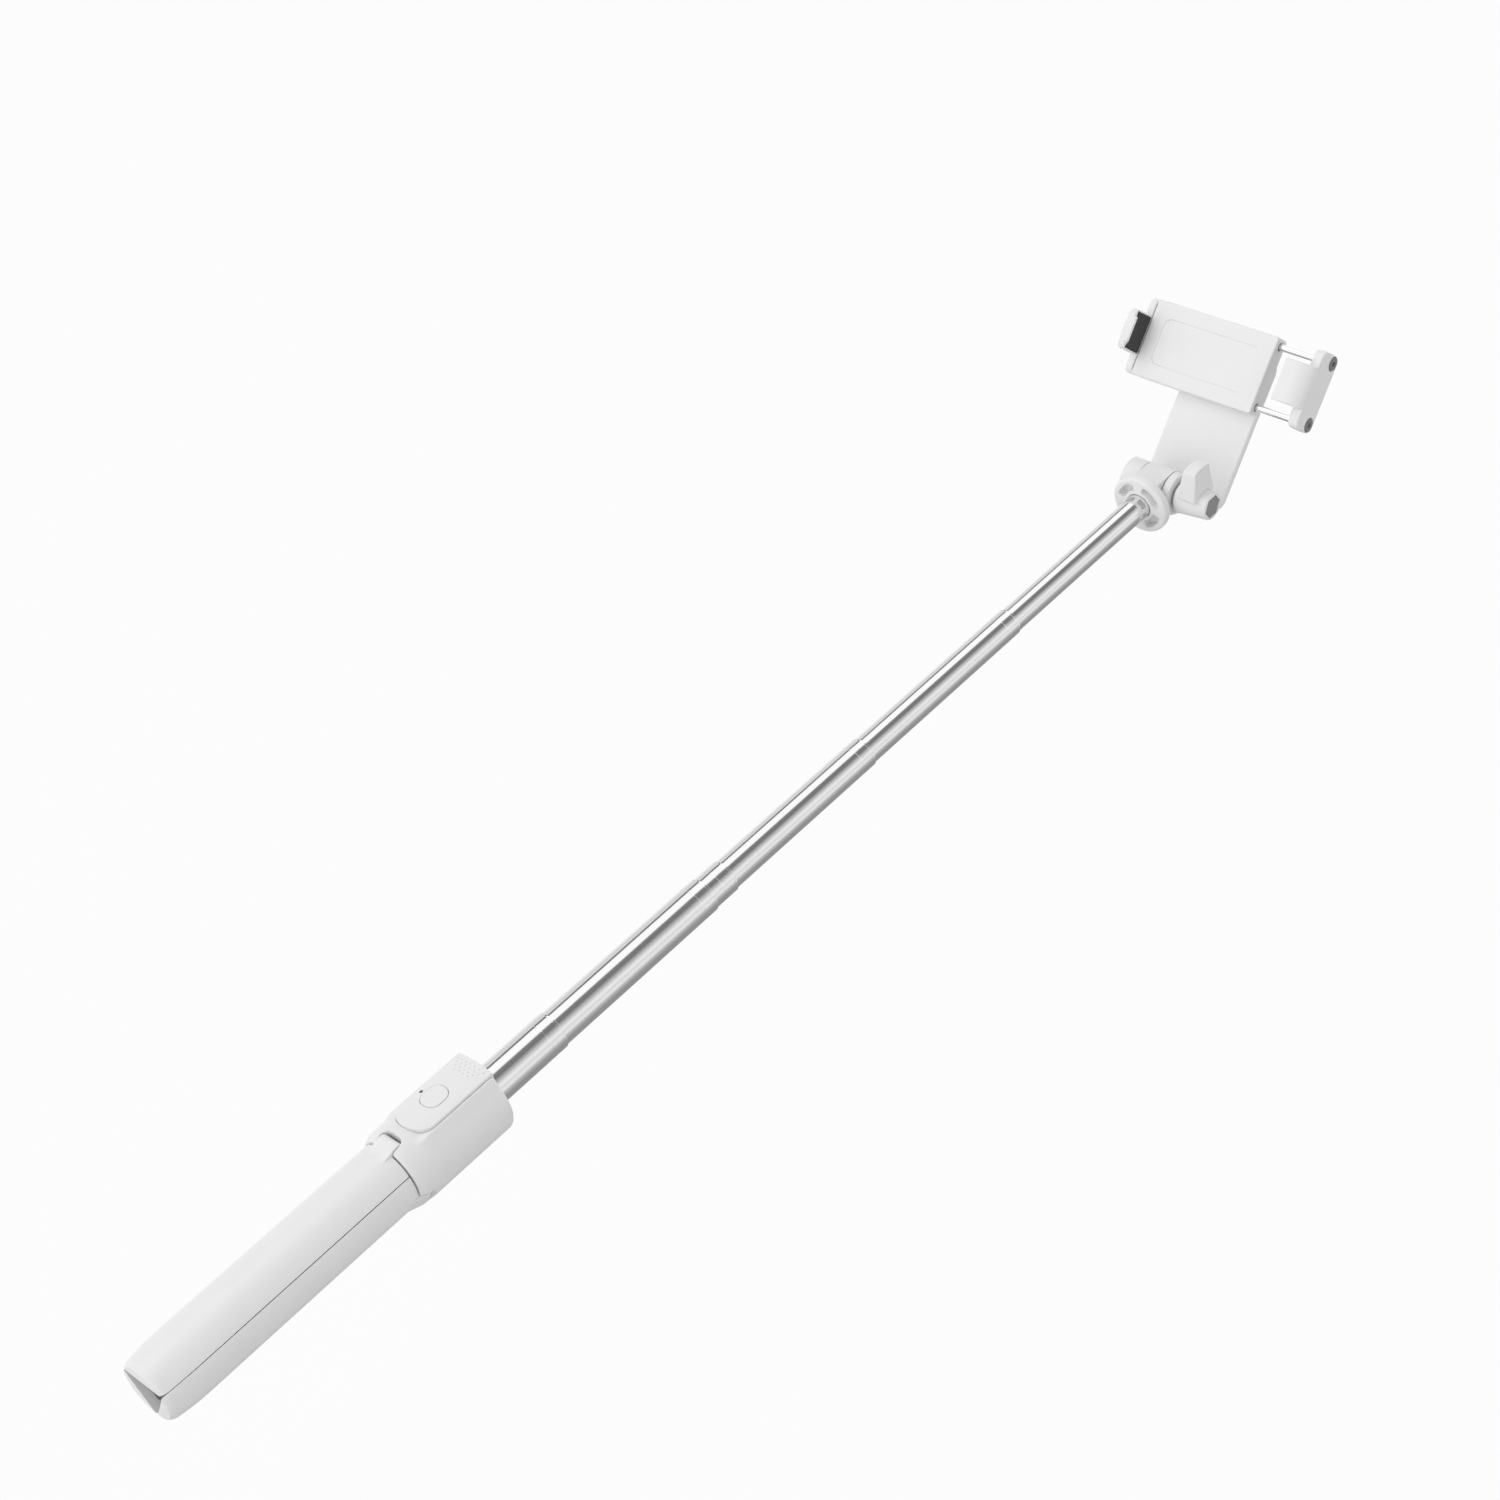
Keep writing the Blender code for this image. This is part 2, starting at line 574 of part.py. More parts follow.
def make_remote(stick):
    half = REMOTE_WIDTH / 2
    remote = empty("remote_frame", stick)
    outline = d_outline(REMOTE_LOW, HEAD_TOP, half)
    inner = d_outline(REMOTE_LOW + REMOTE_WALL, HEAD_TOP - REMOTE_WALL, half - REMOTE_WALL)
    button_x = REMOTE_LOW + BUTTON_UP
    gap = SEAT_GAP
    led_place = (REMOTE_LOW + LED_UP, LED_SIDE, 0)
    led_top = CROWN_AXIS + math.sqrt(REMOTE_CROWN**2 - LED_SIDE**2)
    board_top = REMOTE_INSIDE + BOARD_THICKNESS

    shell = crowned(
        lambda mesh: part("remote_shell", mesh, remote, "white_plastic"), remote, outline, REMOTE_INSIDE,
        REMOTE_CROWN)
    cavity = crowned(
        lambda mesh: tool("remote_cavity", mesh, remote), remote, inner, REMOTE_BACK,
        REMOTE_CROWN - REMOTE_WALL)
    hole = plate(button_outline(button_x, gap), REMOTE_BACK, 2 * REMOTE_TOP)
    led_hole = drum(LED_DIAMETER / 2 + gap, REMOTE_BACK, REMOTE_TOP, FLAT, led_place)
    cut(shell, cavity, tool("button_hole", hole, remote), tool("led_hole", led_hole, remote))

    crowned(
        lambda mesh: part("remote_button", mesh, remote, "white_plastic"), remote,
        button_outline(button_x, 0), SWITCH_TOP + BUTTON_TRAVEL + UNION_INSET, REMOTE_CROWN + BUTTON_PROUD)
    cover = plate(outline, REMOTE_BACK, REMOTE_BACK + COVER_THICKNESS)
    part("remote_back_cover", cover, remote, "white_plastic")
    led = drum(LED_DIAMETER / 2, board_top + gap, led_top, FLAT, led_place)
    part("remote_led", led, remote, "indicator")
    board = block(
        (REMOTE_LOW + BOARD_UP, -BOARD_WIDTH / 2, REMOTE_INSIDE),
        (CELL_X - CELL_DIAMETER / 2 - SEAT_GAP, BOARD_WIDTH / 2, board_top))
    part("remote_board", board, remote, "circuit_board")
    switch = block(
        (button_x - SWITCH_SIZE / 2, -SWITCH_SIZE / 2, board_top + gap),
        (button_x + SWITCH_SIZE / 2, SWITCH_SIZE / 2, SWITCH_TOP))
    part("remote_switch", switch, remote, "grey_plastic")
    cell = drum(
        CELL_DIAMETER / 2, REMOTE_INSIDE, REMOTE_INSIDE + CELL_THICKNESS, FLAT, (CELL_X, 0, 0), ROUND)
    part("remote_cell", cell, remote, "spring_steel")


def make_collar(stick):
    edge = FLANGE_EDGE
    top = FLANGE_X + FLANGE_THICKNESS
    socket_radius = LAST_TUBE_RADIUS + SOCKET_GAP
    centre = socket_radius / 2
    profile = arc((FLANGE_RADIUS - edge, top - edge), (edge, edge), 90, 0, 4)
    profile += arc((FLANGE_RADIUS - edge, FLANGE_X + edge), (edge, edge), 0, -90, 4)
    profile += [(centre, FLANGE_X), (centre, top)]
    collar = part("collar_flange", turned(profile, FINE), stick, "white_plastic")
    start = FLANGE_X + FLANGE_THICKNESS / 2
    outline = [(start, -LUG_RADIUS)] + arc((HINGE_X, 0), (LUG_RADIUS, LUG_RADIUS), -90, 90, 16)
    outline += [(start, LUG_RADIUS)]
    join(collar, tool("collar_lug", plate(outline, -LUG_WIDTH / 2, LUG_WIDTH / 2, SIDEWAYS), stick))
    socket_end = FLANGE_X + SOCKET_DEPTH + SEAT_GAP
    socket = drum(socket_radius, FLANGE_X - SWING_GAP, socket_end, ALONG, sides=ROUND)
    bolt_bore = drum(BOLT_RADIUS + SEAT_GAP, -LUG_WIDTH, LUG_WIDTH, SIDEWAYS, (HINGE_X, 0, 0))
    cut(collar, tool("collar_socket", socket, stick), tool("collar_bolt_bore", bolt_bore, stick))
    inner = socket_radius + RECESS_WALL
    outer = inner + RECESS_WIDTH
    for number in range(RECESS_COUNT):
        middle = 360 * (number + 0.5) / RECESS_COUNT
        half = math.degrees(RECESS_ANGLE) / 2
        outline = arc((0, 0), (outer, outer), middle - half, middle + half, 6)
        outline += arc((0, 0), (inner, inner), middle + half, middle - half, 6)
        recess = plate(outline, FLANGE_X - SWING_GAP, FLANGE_X + RECESS_DEPTH, ALONG)
        cut(collar, tool(f"collar_recess_{number + 1}", recess, stick))


def make_bracket(tilt):
    back = -ARM_FRONT - ARM_THICKNESS / 3
    ear = arc((0, 0), (LUG_RADIUS, LUG_RADIUS), 20, 180, 14) + [(-WEB_LOW, back), (WEB_TOP, back)]
    arm_outline = rounded_box((-ARM_DROP, -ARM_WIDTH / 2), (SWIVEL_UP + ARM_OVER, ARM_WIDTH / 2), ARM_CORNER)
    bracket = part("clamp_bracket", plate(arm_outline, -ARM_BACK, -ARM_FRONT), tilt, "white_plastic")
    join(
        bracket,
        tool("ear_left", plate(ear, -LEFT_END, -EAR_START, SIDEWAYS), tilt),
        tool("ear_right", plate(ear, EAR_START, RIGHT_END, SIDEWAYS), tilt))
    bore = drum(BOLT_RADIUS + SEAT_GAP, -2 * LEFT_END, 2 * RIGHT_END, SIDEWAYS)
    pocket_floor = -LEFT_END + NUT_HEIGHT + SEAT_GAP
    pocket = drum(NUT_HEX + SEAT_GAP, -2 * LEFT_END, pocket_floor, SIDEWAYS, sides=6)
    swivel_hole = drum(
        SCREW_DIAMETER / 2 + SEAT_GAP, -2 * ARM_BACK, 0, FLAT, (SWIVEL_UP, 0, 0))
    cut(
        bracket, tool("ear_bore", bore, tilt), tool("nut_pocket", pocket, tilt),
        tool("swivel_hole", swivel_hole, tilt))


def make_hinge_fasteners(tilt):
    nut_hex = drum(NUT_HEX, -LEFT_END, -LEFT_END + NUT_HEIGHT, SIDEWAYS, sides=6)
    nut = part("tilt_nut", nut_hex, tilt, "spring_steel")
    cut(nut, tool("nut_bore", drum(BOLT_RADIUS + SEAT_GAP, -2 * LEFT_END, 0, SIDEWAYS), tilt))
    head_top = KNOB_END - SEAT_GAP
    head_low = head_top - BOLT_HEX_HEIGHT
    bolt = part("tilt_bolt", drum(BOLT_HEX, head_low, head_top, SIDEWAYS, sides=6), tilt, "grey_metal")
    join(bolt, tool("bolt_shaft", drum(BOLT_RADIUS, -LEFT_END, head_low + SEAT_GAP, SIDEWAYS), tilt))
    washer = ring(BOLT_RADIUS + SEAT_GAP, WASHER_RADIUS, WASHER_START, WASHER_START + WASHER_THICKNESS)
    part("knob_washer", turned(washer, ROUND, SIDEWAYS), tilt, "spring_steel")


def make_knob(tilt):
    """The knob turns about the hinge axis. At rest its wing stands square to the stick."""
    knob = empty("knob_frame", tilt, rotation=(0, REST_TILT, 0))
    bore = BOLT_RADIUS + SEAT_GAP
    profile = arc((KNOB_END_RADIUS - KNOB_EDGE, KNOB_END - KNOB_EDGE), (KNOB_EDGE, KNOB_EDGE), 90, 0, 3)
    profile += [(KNOB_ROOT_RADIUS, KNOB_START), (bore, KNOB_START), (bore, KNOB_END)]
    hub = part("tilt_knob", turned(profile, ROUND, SIDEWAYS), knob, "white_plastic")
    root = bore + SWING_GAP
    blade = [
        (KNOB_START + WING_ROOT_UP, root), (KNOB_END - WING_TOP_DOWN, root),
        (KNOB_END - WING_TOP_DOWN, WING_REACH), (KNOB_START + WING_TIP_UP, WING_REACH)]
    tip = math.degrees(math.asin(WING_TIP_WIDTH / 2 / WING_REACH))
    face = [(WING_ROOT_WIDTH / 2, root)] + arc((0, 0), (WING_REACH, WING_REACH), 90 - tip, 90 + tip, 6)
    face += [(-WING_ROOT_WIDTH / 2, root)]
    wing = tool("knob_wing", plate(face, KNOB_START, KNOB_END, SIDEWAYS), knob)
    trim(wing, tool("knob_blade", plate(blade, -WING_ROOT_WIDTH, WING_ROOT_WIDTH, ENDWISE), knob))
    join(hub, wing)
    hex_low = KNOB_END - BOLT_HEX_HEIGHT - 2 * SEAT_GAP
    pocket = drum(BOLT_HEX + SEAT_GAP, hex_low, 2 * KNOB_END, SIDEWAYS, sides=6)
    cut(hub, tool("hex_pocket", pocket, tilt))


def make_swivel_screw(tilt):
    seat = -ARM_BACK - SEAT_GAP
    low = seat - SCREW_HEAD_HEIGHT
    centre = (SWIVEL_UP, 0, 0)
    head = drum(SCREW_HEAD_RADIUS, low, seat, FLAT, centre, ROUND)
    screw = part("swivel_screw", head, tilt, "spring_steel")
    shaft = drum(SCREW_DIAMETER / 2, seat - SEAT_GAP, -CLAMP_BACK + SCREW_GRIP, FLAT, centre)
    join(screw, tool("screw_shaft", shaft, tilt))
    reach = 2 * SCREW_HEAD_RADIUS
    slot = block(
        (SWIVEL_UP - SLOT_WIDTH / 2, -reach, low - SLOT_DEPTH),
        (SWIVEL_UP + SLOT_WIDTH / 2, reach, low + SLOT_DEPTH))
    cut(screw, tool("screw_slot", slot, tilt))


def rod_centres():
    return {"upper": (ROD_SPREAD, 0, -ROD_DEPTH), "lower": (-ROD_SPREAD, 0, -ROD_DEPTH)}


def make_clamp_body(clamp):
    half = CLAMP_HEIGHT / 2
    box = block((-half, -CLAMP_RIGHT, -CLAMP_BACK), (half, JAW_OPENING / 2, -CLAMP_FRONT))
    body = part("clamp_body", box, clamp, "white_plastic")
    soften(body, CLAMP_EDGE)
    for side, centre in rod_centres().items():
        bore = drum(BORE_RADIUS, -JAW_OPENING, BORE_END, SIDEWAYS, centre)
        guide = drum(ROD_RADIUS + SEAT_GAP, 0, 2 * CLAMP_RIGHT, SIDEWAYS, centre)
        cut(body, tool(f"spring_bore_{side}", bore, clamp), tool(f"rod_guide_{side}", guide, clamp))
    hole = drum(SCREW_DIAMETER / 2 + SEAT_GAP, -2 * CLAMP_BACK, -CLAMP_BACK + SCREW_GRIP + SEAT_GAP)
    cut(body, tool("screw_hole", hole, clamp))


def make_fixed_jaw(clamp):
    half, upright = CLAMP_HEIGHT / 2, JAW_WIDTH / 2
    top = -CLAMP_FRONT + FIXED_RISE
    corner = JAW_CORNER
    outline = arc((half - corner, -CLAMP_FRONT - corner), (corner, corner), 0, 90) + [(upright, -CLAMP_FRONT)]
    outline += arc((upright - corner, top - corner), (corner, corner), 0, 90)
    outline += arc((corner - upright, top - corner), (corner, corner), 90, 180) + [(-upright, -CLAMP_FRONT)]
    outline += arc((corner - half, -CLAMP_FRONT - corner), (corner, corner), 90, 180)
    outline += arc((corner - half, corner - CLAMP_BACK), (corner, corner), 180, 270)
    outline += arc((half - corner, corner - CLAMP_BACK), (corner, corner), 270, 360)
    outer = -FIXED_FACE - FIXED_THICKNESS
    jaw = part("fixed_jaw", plate(outline, outer, -FIXED_FACE, SIDEWAYS), clamp, "white_plastic")
    inset = upright - PAD_INSET
    lip_low = top - UNION_INSET - FIXED_LIP_HEIGHT
    lip = block(
        (corner - upright, FIXED_FACE - FIXED_LIP, lip_low),
        (upright - corner, FIXED_FACE + FIXED_LIP, top - UNION_INSET))
    join(jaw, tool("fixed_lip", lip, clamp))
    pad_back = JAW_OPENING / 2 + PAD_THICKNESS
    pad_low = -CLAMP_FRONT + SEAT_GAP
    pocket = block(
        (-inset - SEAT_GAP, 0, pad_low - SEAT_GAP), (inset + SEAT_GAP, pad_back + SEAT_GAP, lip_low))
    cut(jaw, tool("fixed_pad_pocket", pocket, clamp))
    pad = block((-inset, JAW_OPENING / 2, pad_low), (inset, pad_back, lip_low - SEAT_GAP))
    part("fixed_jaw_pad", pad, clamp, "dark_rubber")


def hook_outline(base, low, shrink, tip, outer_reach, inner_reach):
    """Outline of the hook or of its lining, across the jaw, drawn from its foot on the outer side."""
    bend = (SLIDER_BACK - HOOK_REACH + HOOK_FLAT, base)
    rise = HOOK_RISE - shrink
    end = SLIDER_BACK - HOOK_REACH + shrink / 2
    outer = arc(bend, (outer_reach - bend[0], rise), 0, 90, 10)
    inner = arc(bend, (inner_reach - bend[0], rise - tip), 90, 0, 8)
    lip = [(end, base + rise), (end, base + rise - tip)]
    return [(outer_reach, low)] + outer + lip + inner + [(inner_reach, low)]


def make_sliding_jaw(clamp):
    half = CLAMP_HEIGHT / 2
    base = -CLAMP_FRONT + SLIDER_RISE
    outline = rounded_box((-half, -CLAMP_BACK), (half, base), JAW_CORNER)
    jaw = part("sliding_jaw", plate(outline, SLIDER_FACE, SLIDER_BACK, SIDEWAYS), clamp, "white_plastic")
    hook = hook_outline(
        base, base - JAW_CORNER, 0, HOOK_TIP, SLIDER_BACK - UNION_INSET, SLIDER_FACE + UNION_INSET)
    join(jaw, tool("jaw_hook", plate(hook, -JAW_WIDTH / 2, JAW_WIDTH / 2, ENDWISE), clamp))
    for side, centre in rod_centres().items():
        bore = drum(ROD_RADIUS + SEAT_GAP, 0, 2 * SLIDER_BACK, SIDEWAYS, centre)
        seat = drum(CAP_RADIUS + SEAT_GAP, CAP_SEAT, 2 * SLIDER_BACK, SIDEWAYS, centre)
        cut(jaw, tool(f"jaw_bore_{side}", bore, clamp), tool(f"cap_seat_{side}", seat, clamp))
    lining = hook_outline(
        base, -CLAMP_FRONT + SEAT_GAP, HOOK_TIP + SEAT_GAP, LINING_TIP, SLIDER_FACE - SEAT_GAP,
        JAW_OPENING / 2)
    inset = JAW_WIDTH / 2 - PAD_INSET
    part("sliding_jaw_pad", plate(lining, -inset, inset, ENDWISE), clamp, "dark_rubber")


def coil_points(start, end):
    count = SPRING_TURNS * SPRING_POINTS
    for step in range(count + 1):
        angle = 2 * math.pi * step / SPRING_POINTS
        along = start + (end - start) * step / count
        yield SPRING_RADIUS * math.cos(angle), SPRING_RADIUS * math.sin(angle), along


def make_spring(name, centre, clamp):
    curve = bpy.data.curves.new(name, "CURVE")
    curve.dimensions = "3D"
    curve.bevel_depth = WIRE_RADIUS
    curve.bevel_resolution = 2
    curve.use_fill_caps = True
    low = ROD_INNER + WIRE_RADIUS
    high = BORE_END - SEAT_GAP - WIRE_RADIUS
    points = list(coil_points(low, high))
    spline = curve.splines.new("POLY")
    spline.points.add(len(points) - 1)
    for point, place in zip(spline.points, points):
        point.co = (*place, 1)
    source = bpy.data.objects.new(name, curve)
    bpy.context.scene.collection.objects.link(source)
    mesh = evaluated_mesh(source)
    bpy.data.objects.remove(source)
    weld(mesh)
    mesh.transform(Matrix.Translation(centre) @ SIDEWAYS)
    part(name, shade(mesh), clamp, "spring_steel")


def make_rods(clamp):
    for side, centre in rod_centres().items():
        rod = drum(ROD_RADIUS, ROD_INNER, CAP_SEAT, SIDEWAYS, centre)
        part(f"guide_rod_{side}", rod, clamp, "polished_steel")
        cap_low = CAP_SEAT + SEAT_GAP
        cap = drum(CAP_RADIUS, cap_low, cap_low + CAP_THICKNESS, SIDEWAYS, centre, ROUND)
        part(f"rod_cap_{side}", cap, clamp, "grey_plastic")
        stop_top = ROD_INNER - SEAT_GAP
        stop = drum(SPRING_RADIUS + WIRE_RADIUS, stop_top - STOP_THICKNESS, stop_top, SIDEWAYS, centre)
        part(f"rod_stop_{side}", stop, clamp, "spring_steel")
        make_spring(f"clamp_spring_{side}", centre, clamp)


def main():
    stick = empty("stick_axis", location=(-STICK_REACH / 2, 0, AXIS_HEIGHT))
    leg_frames = [
        empty(f"leg_frame_{k + 1}", stick, rotation=(2 * math.pi * k / LEG_COUNT, 0, 0))
        for k in range(LEG_COUNT)]
    tilt = empty("tilt_frame", stick, (HINGE_X, 0, 0), (0, -REST_TILT, 0))
    clamp = empty("swivel_frame", tilt, (SWIVEL_UP, 0, 0))
    make_head(stick, leg_frames)
    make_pole_guide(stick)
    make_legs(leg_frames)
    make_pole(stick)
    make_remote(stick)
    make_collar(stick)
    make_bracket(tilt)
    make_hinge_fasteners(tilt)
    make_knob(tilt)
    make_swivel_screw(tilt)
    make_clamp_body(clamp)
    make_fixed_jaw(clamp)
    make_sliding_jaw(clamp)
    make_rods(clamp)


clear_scene()
PARTS = new_collection("selfie_stick")
TOOLS = new_collection("cutters")
MATERIALS = {name: new_material(name, *look) for name, look in FINISHES.items()}
main()
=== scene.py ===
"""Looks of a selfie stick whose handle opens into a tripod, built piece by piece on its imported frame."""

import json
import math

import bmesh
import bpy
from bpy.props import FloatProperty, FloatVectorProperty, IntProperty, PointerProperty
from mathutils import Matrix, Vector

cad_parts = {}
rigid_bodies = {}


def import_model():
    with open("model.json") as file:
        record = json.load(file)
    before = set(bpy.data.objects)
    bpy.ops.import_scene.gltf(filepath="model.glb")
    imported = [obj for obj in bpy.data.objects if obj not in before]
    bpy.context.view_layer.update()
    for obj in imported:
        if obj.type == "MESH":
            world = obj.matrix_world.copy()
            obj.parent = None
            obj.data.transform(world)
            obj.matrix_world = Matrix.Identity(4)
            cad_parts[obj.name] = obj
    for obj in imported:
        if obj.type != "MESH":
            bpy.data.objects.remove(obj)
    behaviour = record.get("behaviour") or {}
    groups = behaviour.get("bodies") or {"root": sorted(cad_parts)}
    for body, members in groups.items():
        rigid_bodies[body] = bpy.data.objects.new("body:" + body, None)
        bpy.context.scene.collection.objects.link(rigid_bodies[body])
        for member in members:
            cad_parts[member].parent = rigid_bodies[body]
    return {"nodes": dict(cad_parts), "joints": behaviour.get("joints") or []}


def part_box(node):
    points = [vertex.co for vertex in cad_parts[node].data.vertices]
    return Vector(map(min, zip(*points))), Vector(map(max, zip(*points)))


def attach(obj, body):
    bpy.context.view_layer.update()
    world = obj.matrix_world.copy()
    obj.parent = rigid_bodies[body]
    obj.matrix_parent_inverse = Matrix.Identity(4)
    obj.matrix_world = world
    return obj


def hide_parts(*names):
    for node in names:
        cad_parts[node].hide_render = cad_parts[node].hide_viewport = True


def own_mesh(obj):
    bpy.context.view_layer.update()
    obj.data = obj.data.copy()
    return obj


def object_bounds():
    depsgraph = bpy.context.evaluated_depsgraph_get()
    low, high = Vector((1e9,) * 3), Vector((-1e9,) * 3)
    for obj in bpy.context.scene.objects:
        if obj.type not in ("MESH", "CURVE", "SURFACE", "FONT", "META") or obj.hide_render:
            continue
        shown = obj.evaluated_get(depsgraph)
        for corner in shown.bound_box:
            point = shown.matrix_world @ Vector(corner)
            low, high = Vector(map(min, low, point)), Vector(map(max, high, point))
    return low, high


bl_info = {
    "name": "Selfie Stick",
    "version": (1, 0, 0),
    "blender": (4, 5, 0),
    "location": "View3D > Sidebar > Selfie Stick",
    "description": "Builds the pieces of a selfie stick on its packed frame, and a stage to show it on",
    "category": "Object",
}

for leftover in list(bpy.data.objects):
    bpy.data.objects.remove(leftover)
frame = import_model()
CAD_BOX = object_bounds()

# Frames that pieces are drawn in, in millimetres: along the stick, about each leg and on the tilting clamp
MM = 0.001
JOINTS = {joint["name"]: joint for joint in frame["joints"]}
HINGE = Vector(JOINTS["clamp_tilt"]["pos_m"])
SWIVEL_AXIS = Vector(JOINTS["clamp_swivel"]["axis"])
REST_TILT = math.atan2(-SWIVEL_AXIS.x, SWIVEL_AXIS.z)
FOOT_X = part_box("leg_1")[0].x
SCALE = Matrix.Scale(MM, 4)
STICK = Matrix.Translation((FOOT_X, 0, HINGE.z)) @ SCALE
TILT = Matrix.Translation(HINGE) @ Matrix.Rotation(-REST_TILT, 4, "Y") @ SCALE
KNOB = Matrix.Translation(HINGE) @ SCALE
LEG_FRAMES = [STICK @ Matrix.Rotation(math.radians(turn), 4, "X") for turn in (0, 120, 240)]
HINGE_X = (HINGE.x - FOOT_X) / MM

# Ways to turn an outline (a, b) with its depth
FLAT = Matrix.Identity(4)
ACROSS = Matrix(((0, 0, 1, 0), (1, 0, 0, 0), (0, 1, 0, 0), (0, 0, 0, 1)))
SIDEWAYS = Matrix.Rotation(math.pi / 2, 4, "X")
ENDWISE = Matrix(((0, 0, -1, 0), (-1, 0, 0, 0), (0, 1, 0, 0), (0, 0, 0, 1)))

# Sizes of the frame's pieces, in millimetres
GAP = 0.3
THIN_GAP = 0.17
TUBE_RADII = [6.8, 6.4, 6.0, 5.6, 5.2, 4.8]
TUBE_WALL = 0.28
LEG_LENGTH, LEG_TOP_EDGE, LEG_RADIUS, LEG_WALL, LEG_CHORD = 98.2, 0.2, 11.8, 2.2, 5.98
FOOT_THICKNESS, FOOT_INNER, FOOT_TAPER, FOOT_RUN = 3.0, 4.0, 0.1, 14.0
FOOT_EDGE, FOOT_ROUND, FOOT_CREASE = 2.6, 3.2, 50
PIN_X, PIN_CIRCLE, PIN_BORE, PIN_RADIUS, PIN_HALF, PIN_EDGE = 101.2, 11.0, 1.05, 0.9, 6, 0.15
KNUCKLE_RADIUS, TONGUE_HALF = 1.9, 3.9
HEAD_LOW, HEAD_TOP, HEAD_RADIUS = 98.7, 138.5, 13.6
HEAD_TOP_EDGE, HEAD_LOW_EDGE, LIP_TAPER, LIP_RUN = 2.0, 0.4, 0.085, 6.0
SKIRT_RADIUS, HEAD_INNER, HEAD_CEILING = 10.1, 11.3, 135.5
NOTCH_TOP, NOTCH_HALF, NOTCH_FLOOR, NOTCH_CORNER = 103.9, 4.25, 8.6, 2.4
SLEEVE_RADIUS, SLEEVE_BORE, SLEEVE_LOW, SLEEVE_TOP = 8.6, 7.1, 99.5, 137.9
BUSH_RADIUS, BUSH_BORE, BUSH_LOW = 7.55, 6.95, 134.2
SHOULDER_SIDE, SHOULDER_RISE, SHOULDER_LOW, SHOULDER_HIGH = 8.45, 12.4, 104.2, 110.2
REMOTE_LOW, REMOTE_HALF, REMOTE_END = 107.2, 7.65, 6.4
REMOTE_BACK, COVER_TOP, REMOTE_INSIDE, REMOTE_WALL = 8.9, 9.8, 10.1, 1.2
CROWN_RADIUS, CROWN_AXIS, CROWN_LINES, CROWN_STEP = 25.0, -10.5, 23, 1 / 3
DOT_SPACING, DOT_ROW, DOT_DOWN, DOT_SINK, DOT_FLATTEN, DOT_MOST = 1.9, 1.35, 1.9, 0.1, 0.6, 7
BUTTON_X, BUTTON_LENGTH, BUTTON_WIDTH, BUTTON_CORNER = 120.9, 9.0, 7.6, 3.5
BUTTON_LOW, BUTTON_PROUD = 13.4, 0.25
LED_X, LED_SIDE, LED_RADIUS, LED_LOW = 120.2, 5.3, 0.5, 11.2
FLANGE_LOW, FLANGE_TOP, FLANGE_RADIUS, FLANGE_EDGE = 482.6, 486.6, 11.7, 1.2
SOCKET_RADIUS, SOCKET_END = 4.95, 490.9
RECESS_INNER, RECESS_OUTER, RECESS_HALF, RECESS_DEPTH = 6.35, 9.35, 30, 3.3
LUG_RADIUS, LUG_HALF, BOLT_BORE = 8.2, 5.6, 2.3
EAR_START, LEFT_END, RIGHT_END = 5.9, 13.0, 9.2
WEB_TOP, WEB_LOW = 7.6, 1.5
WASHER_LOW, WASHER_TOP, WASHER_RADIUS = 9.5, 10.3, 5.4
KNOB_LOW, KNOB_TOP, KNOB_ROOT, KNOB_TIP = 10.6, 24.0, 6.5, 5.3
WING_REACH, WING_ROOT_HALF, WING_TIP_HALF = 16.4, 6.3, 4.4
WING_ROOT_LOW, WING_TIP_LOW, WING_HIGH = 12.3, 15.0, 20.3
BOLT_RADIUS, BOLT_HEX, HEX_LOW, HEX_TOP = 2.0, 4.27, 20.6, 23.7
NUT_HEX, NUT_TOP = 4.04, -9.8
ARM_LOW, ARM_HIGH, ARM_HALF, ARM_BACK, ARM_FRONT, ARM_CORNER = -2.0, 59.9, 17.5, -19.9, -16.9, 6.0
SWIVEL_UP, SCREW_RADIUS, SCREW_HEAD, SCREW_LOW, SCREW_SEAT, SCREW_END = 51.9, 1.6, 3.6, -22.0, -20.2, -12.0
CLAMP_HALF, CLAMP_BACK, CLAMP_FRONT, CLAMP_LEFT, CLAMP_RIGHT = 15.0, -16.6, -9.4, 35.6, -18.5
PANEL_HALF, PANEL_INSET, PANEL_CORNER, PANEL_DEPTH = 9, 6, 3, 0.5
ROD_SPREAD, ROD_DEPTH, ROD_RADIUS, ROD_INNER, ROD_OUTER = 11.85, -13.0, 1.25, -15.4, 39.8
SPRING_BORE, SPRING_RADIUS, WIRE_RADIUS, SPRING_TURNS, BORE_END = 2.39, 1.82, 0.22, 8, 15.5
CAP_RADIUS, CAP_LOW, CAP_TOP = 2.5, 40.1, 41.5
JAW_HALF, JAW_CORNER = 8.0, 3.0
FIXED_OUTER, FIXED_FACE, FIXED_TOP = 38.9, 35.9, 2.2
PAD_FACE, PAD_BACK, PAD_HALF = 35.6, 36.9, 7.0
SLIDER_FACE, SLIDER_BACK, SLIDER_TOP = 37.2, 41.3, -4.0
HOOK_RISE, HOOK_END, HOOK_BEND, HOOK_TIP, LINING_TIP = 5.2, 30.2, 33.0, 1.6, 0.8

# Sides of round pieces
VERY_FINE, FINE, ROUND, SMALL = 180, 96, 64, 32
CORNER = 8


def length_property(name, description, default, low, high):
    """A length given in millimetres."""
    return FloatProperty(
        name=name, description=description, default=default * MM, min=low * MM, max=high * MM, unit="LENGTH",
        precision=5)


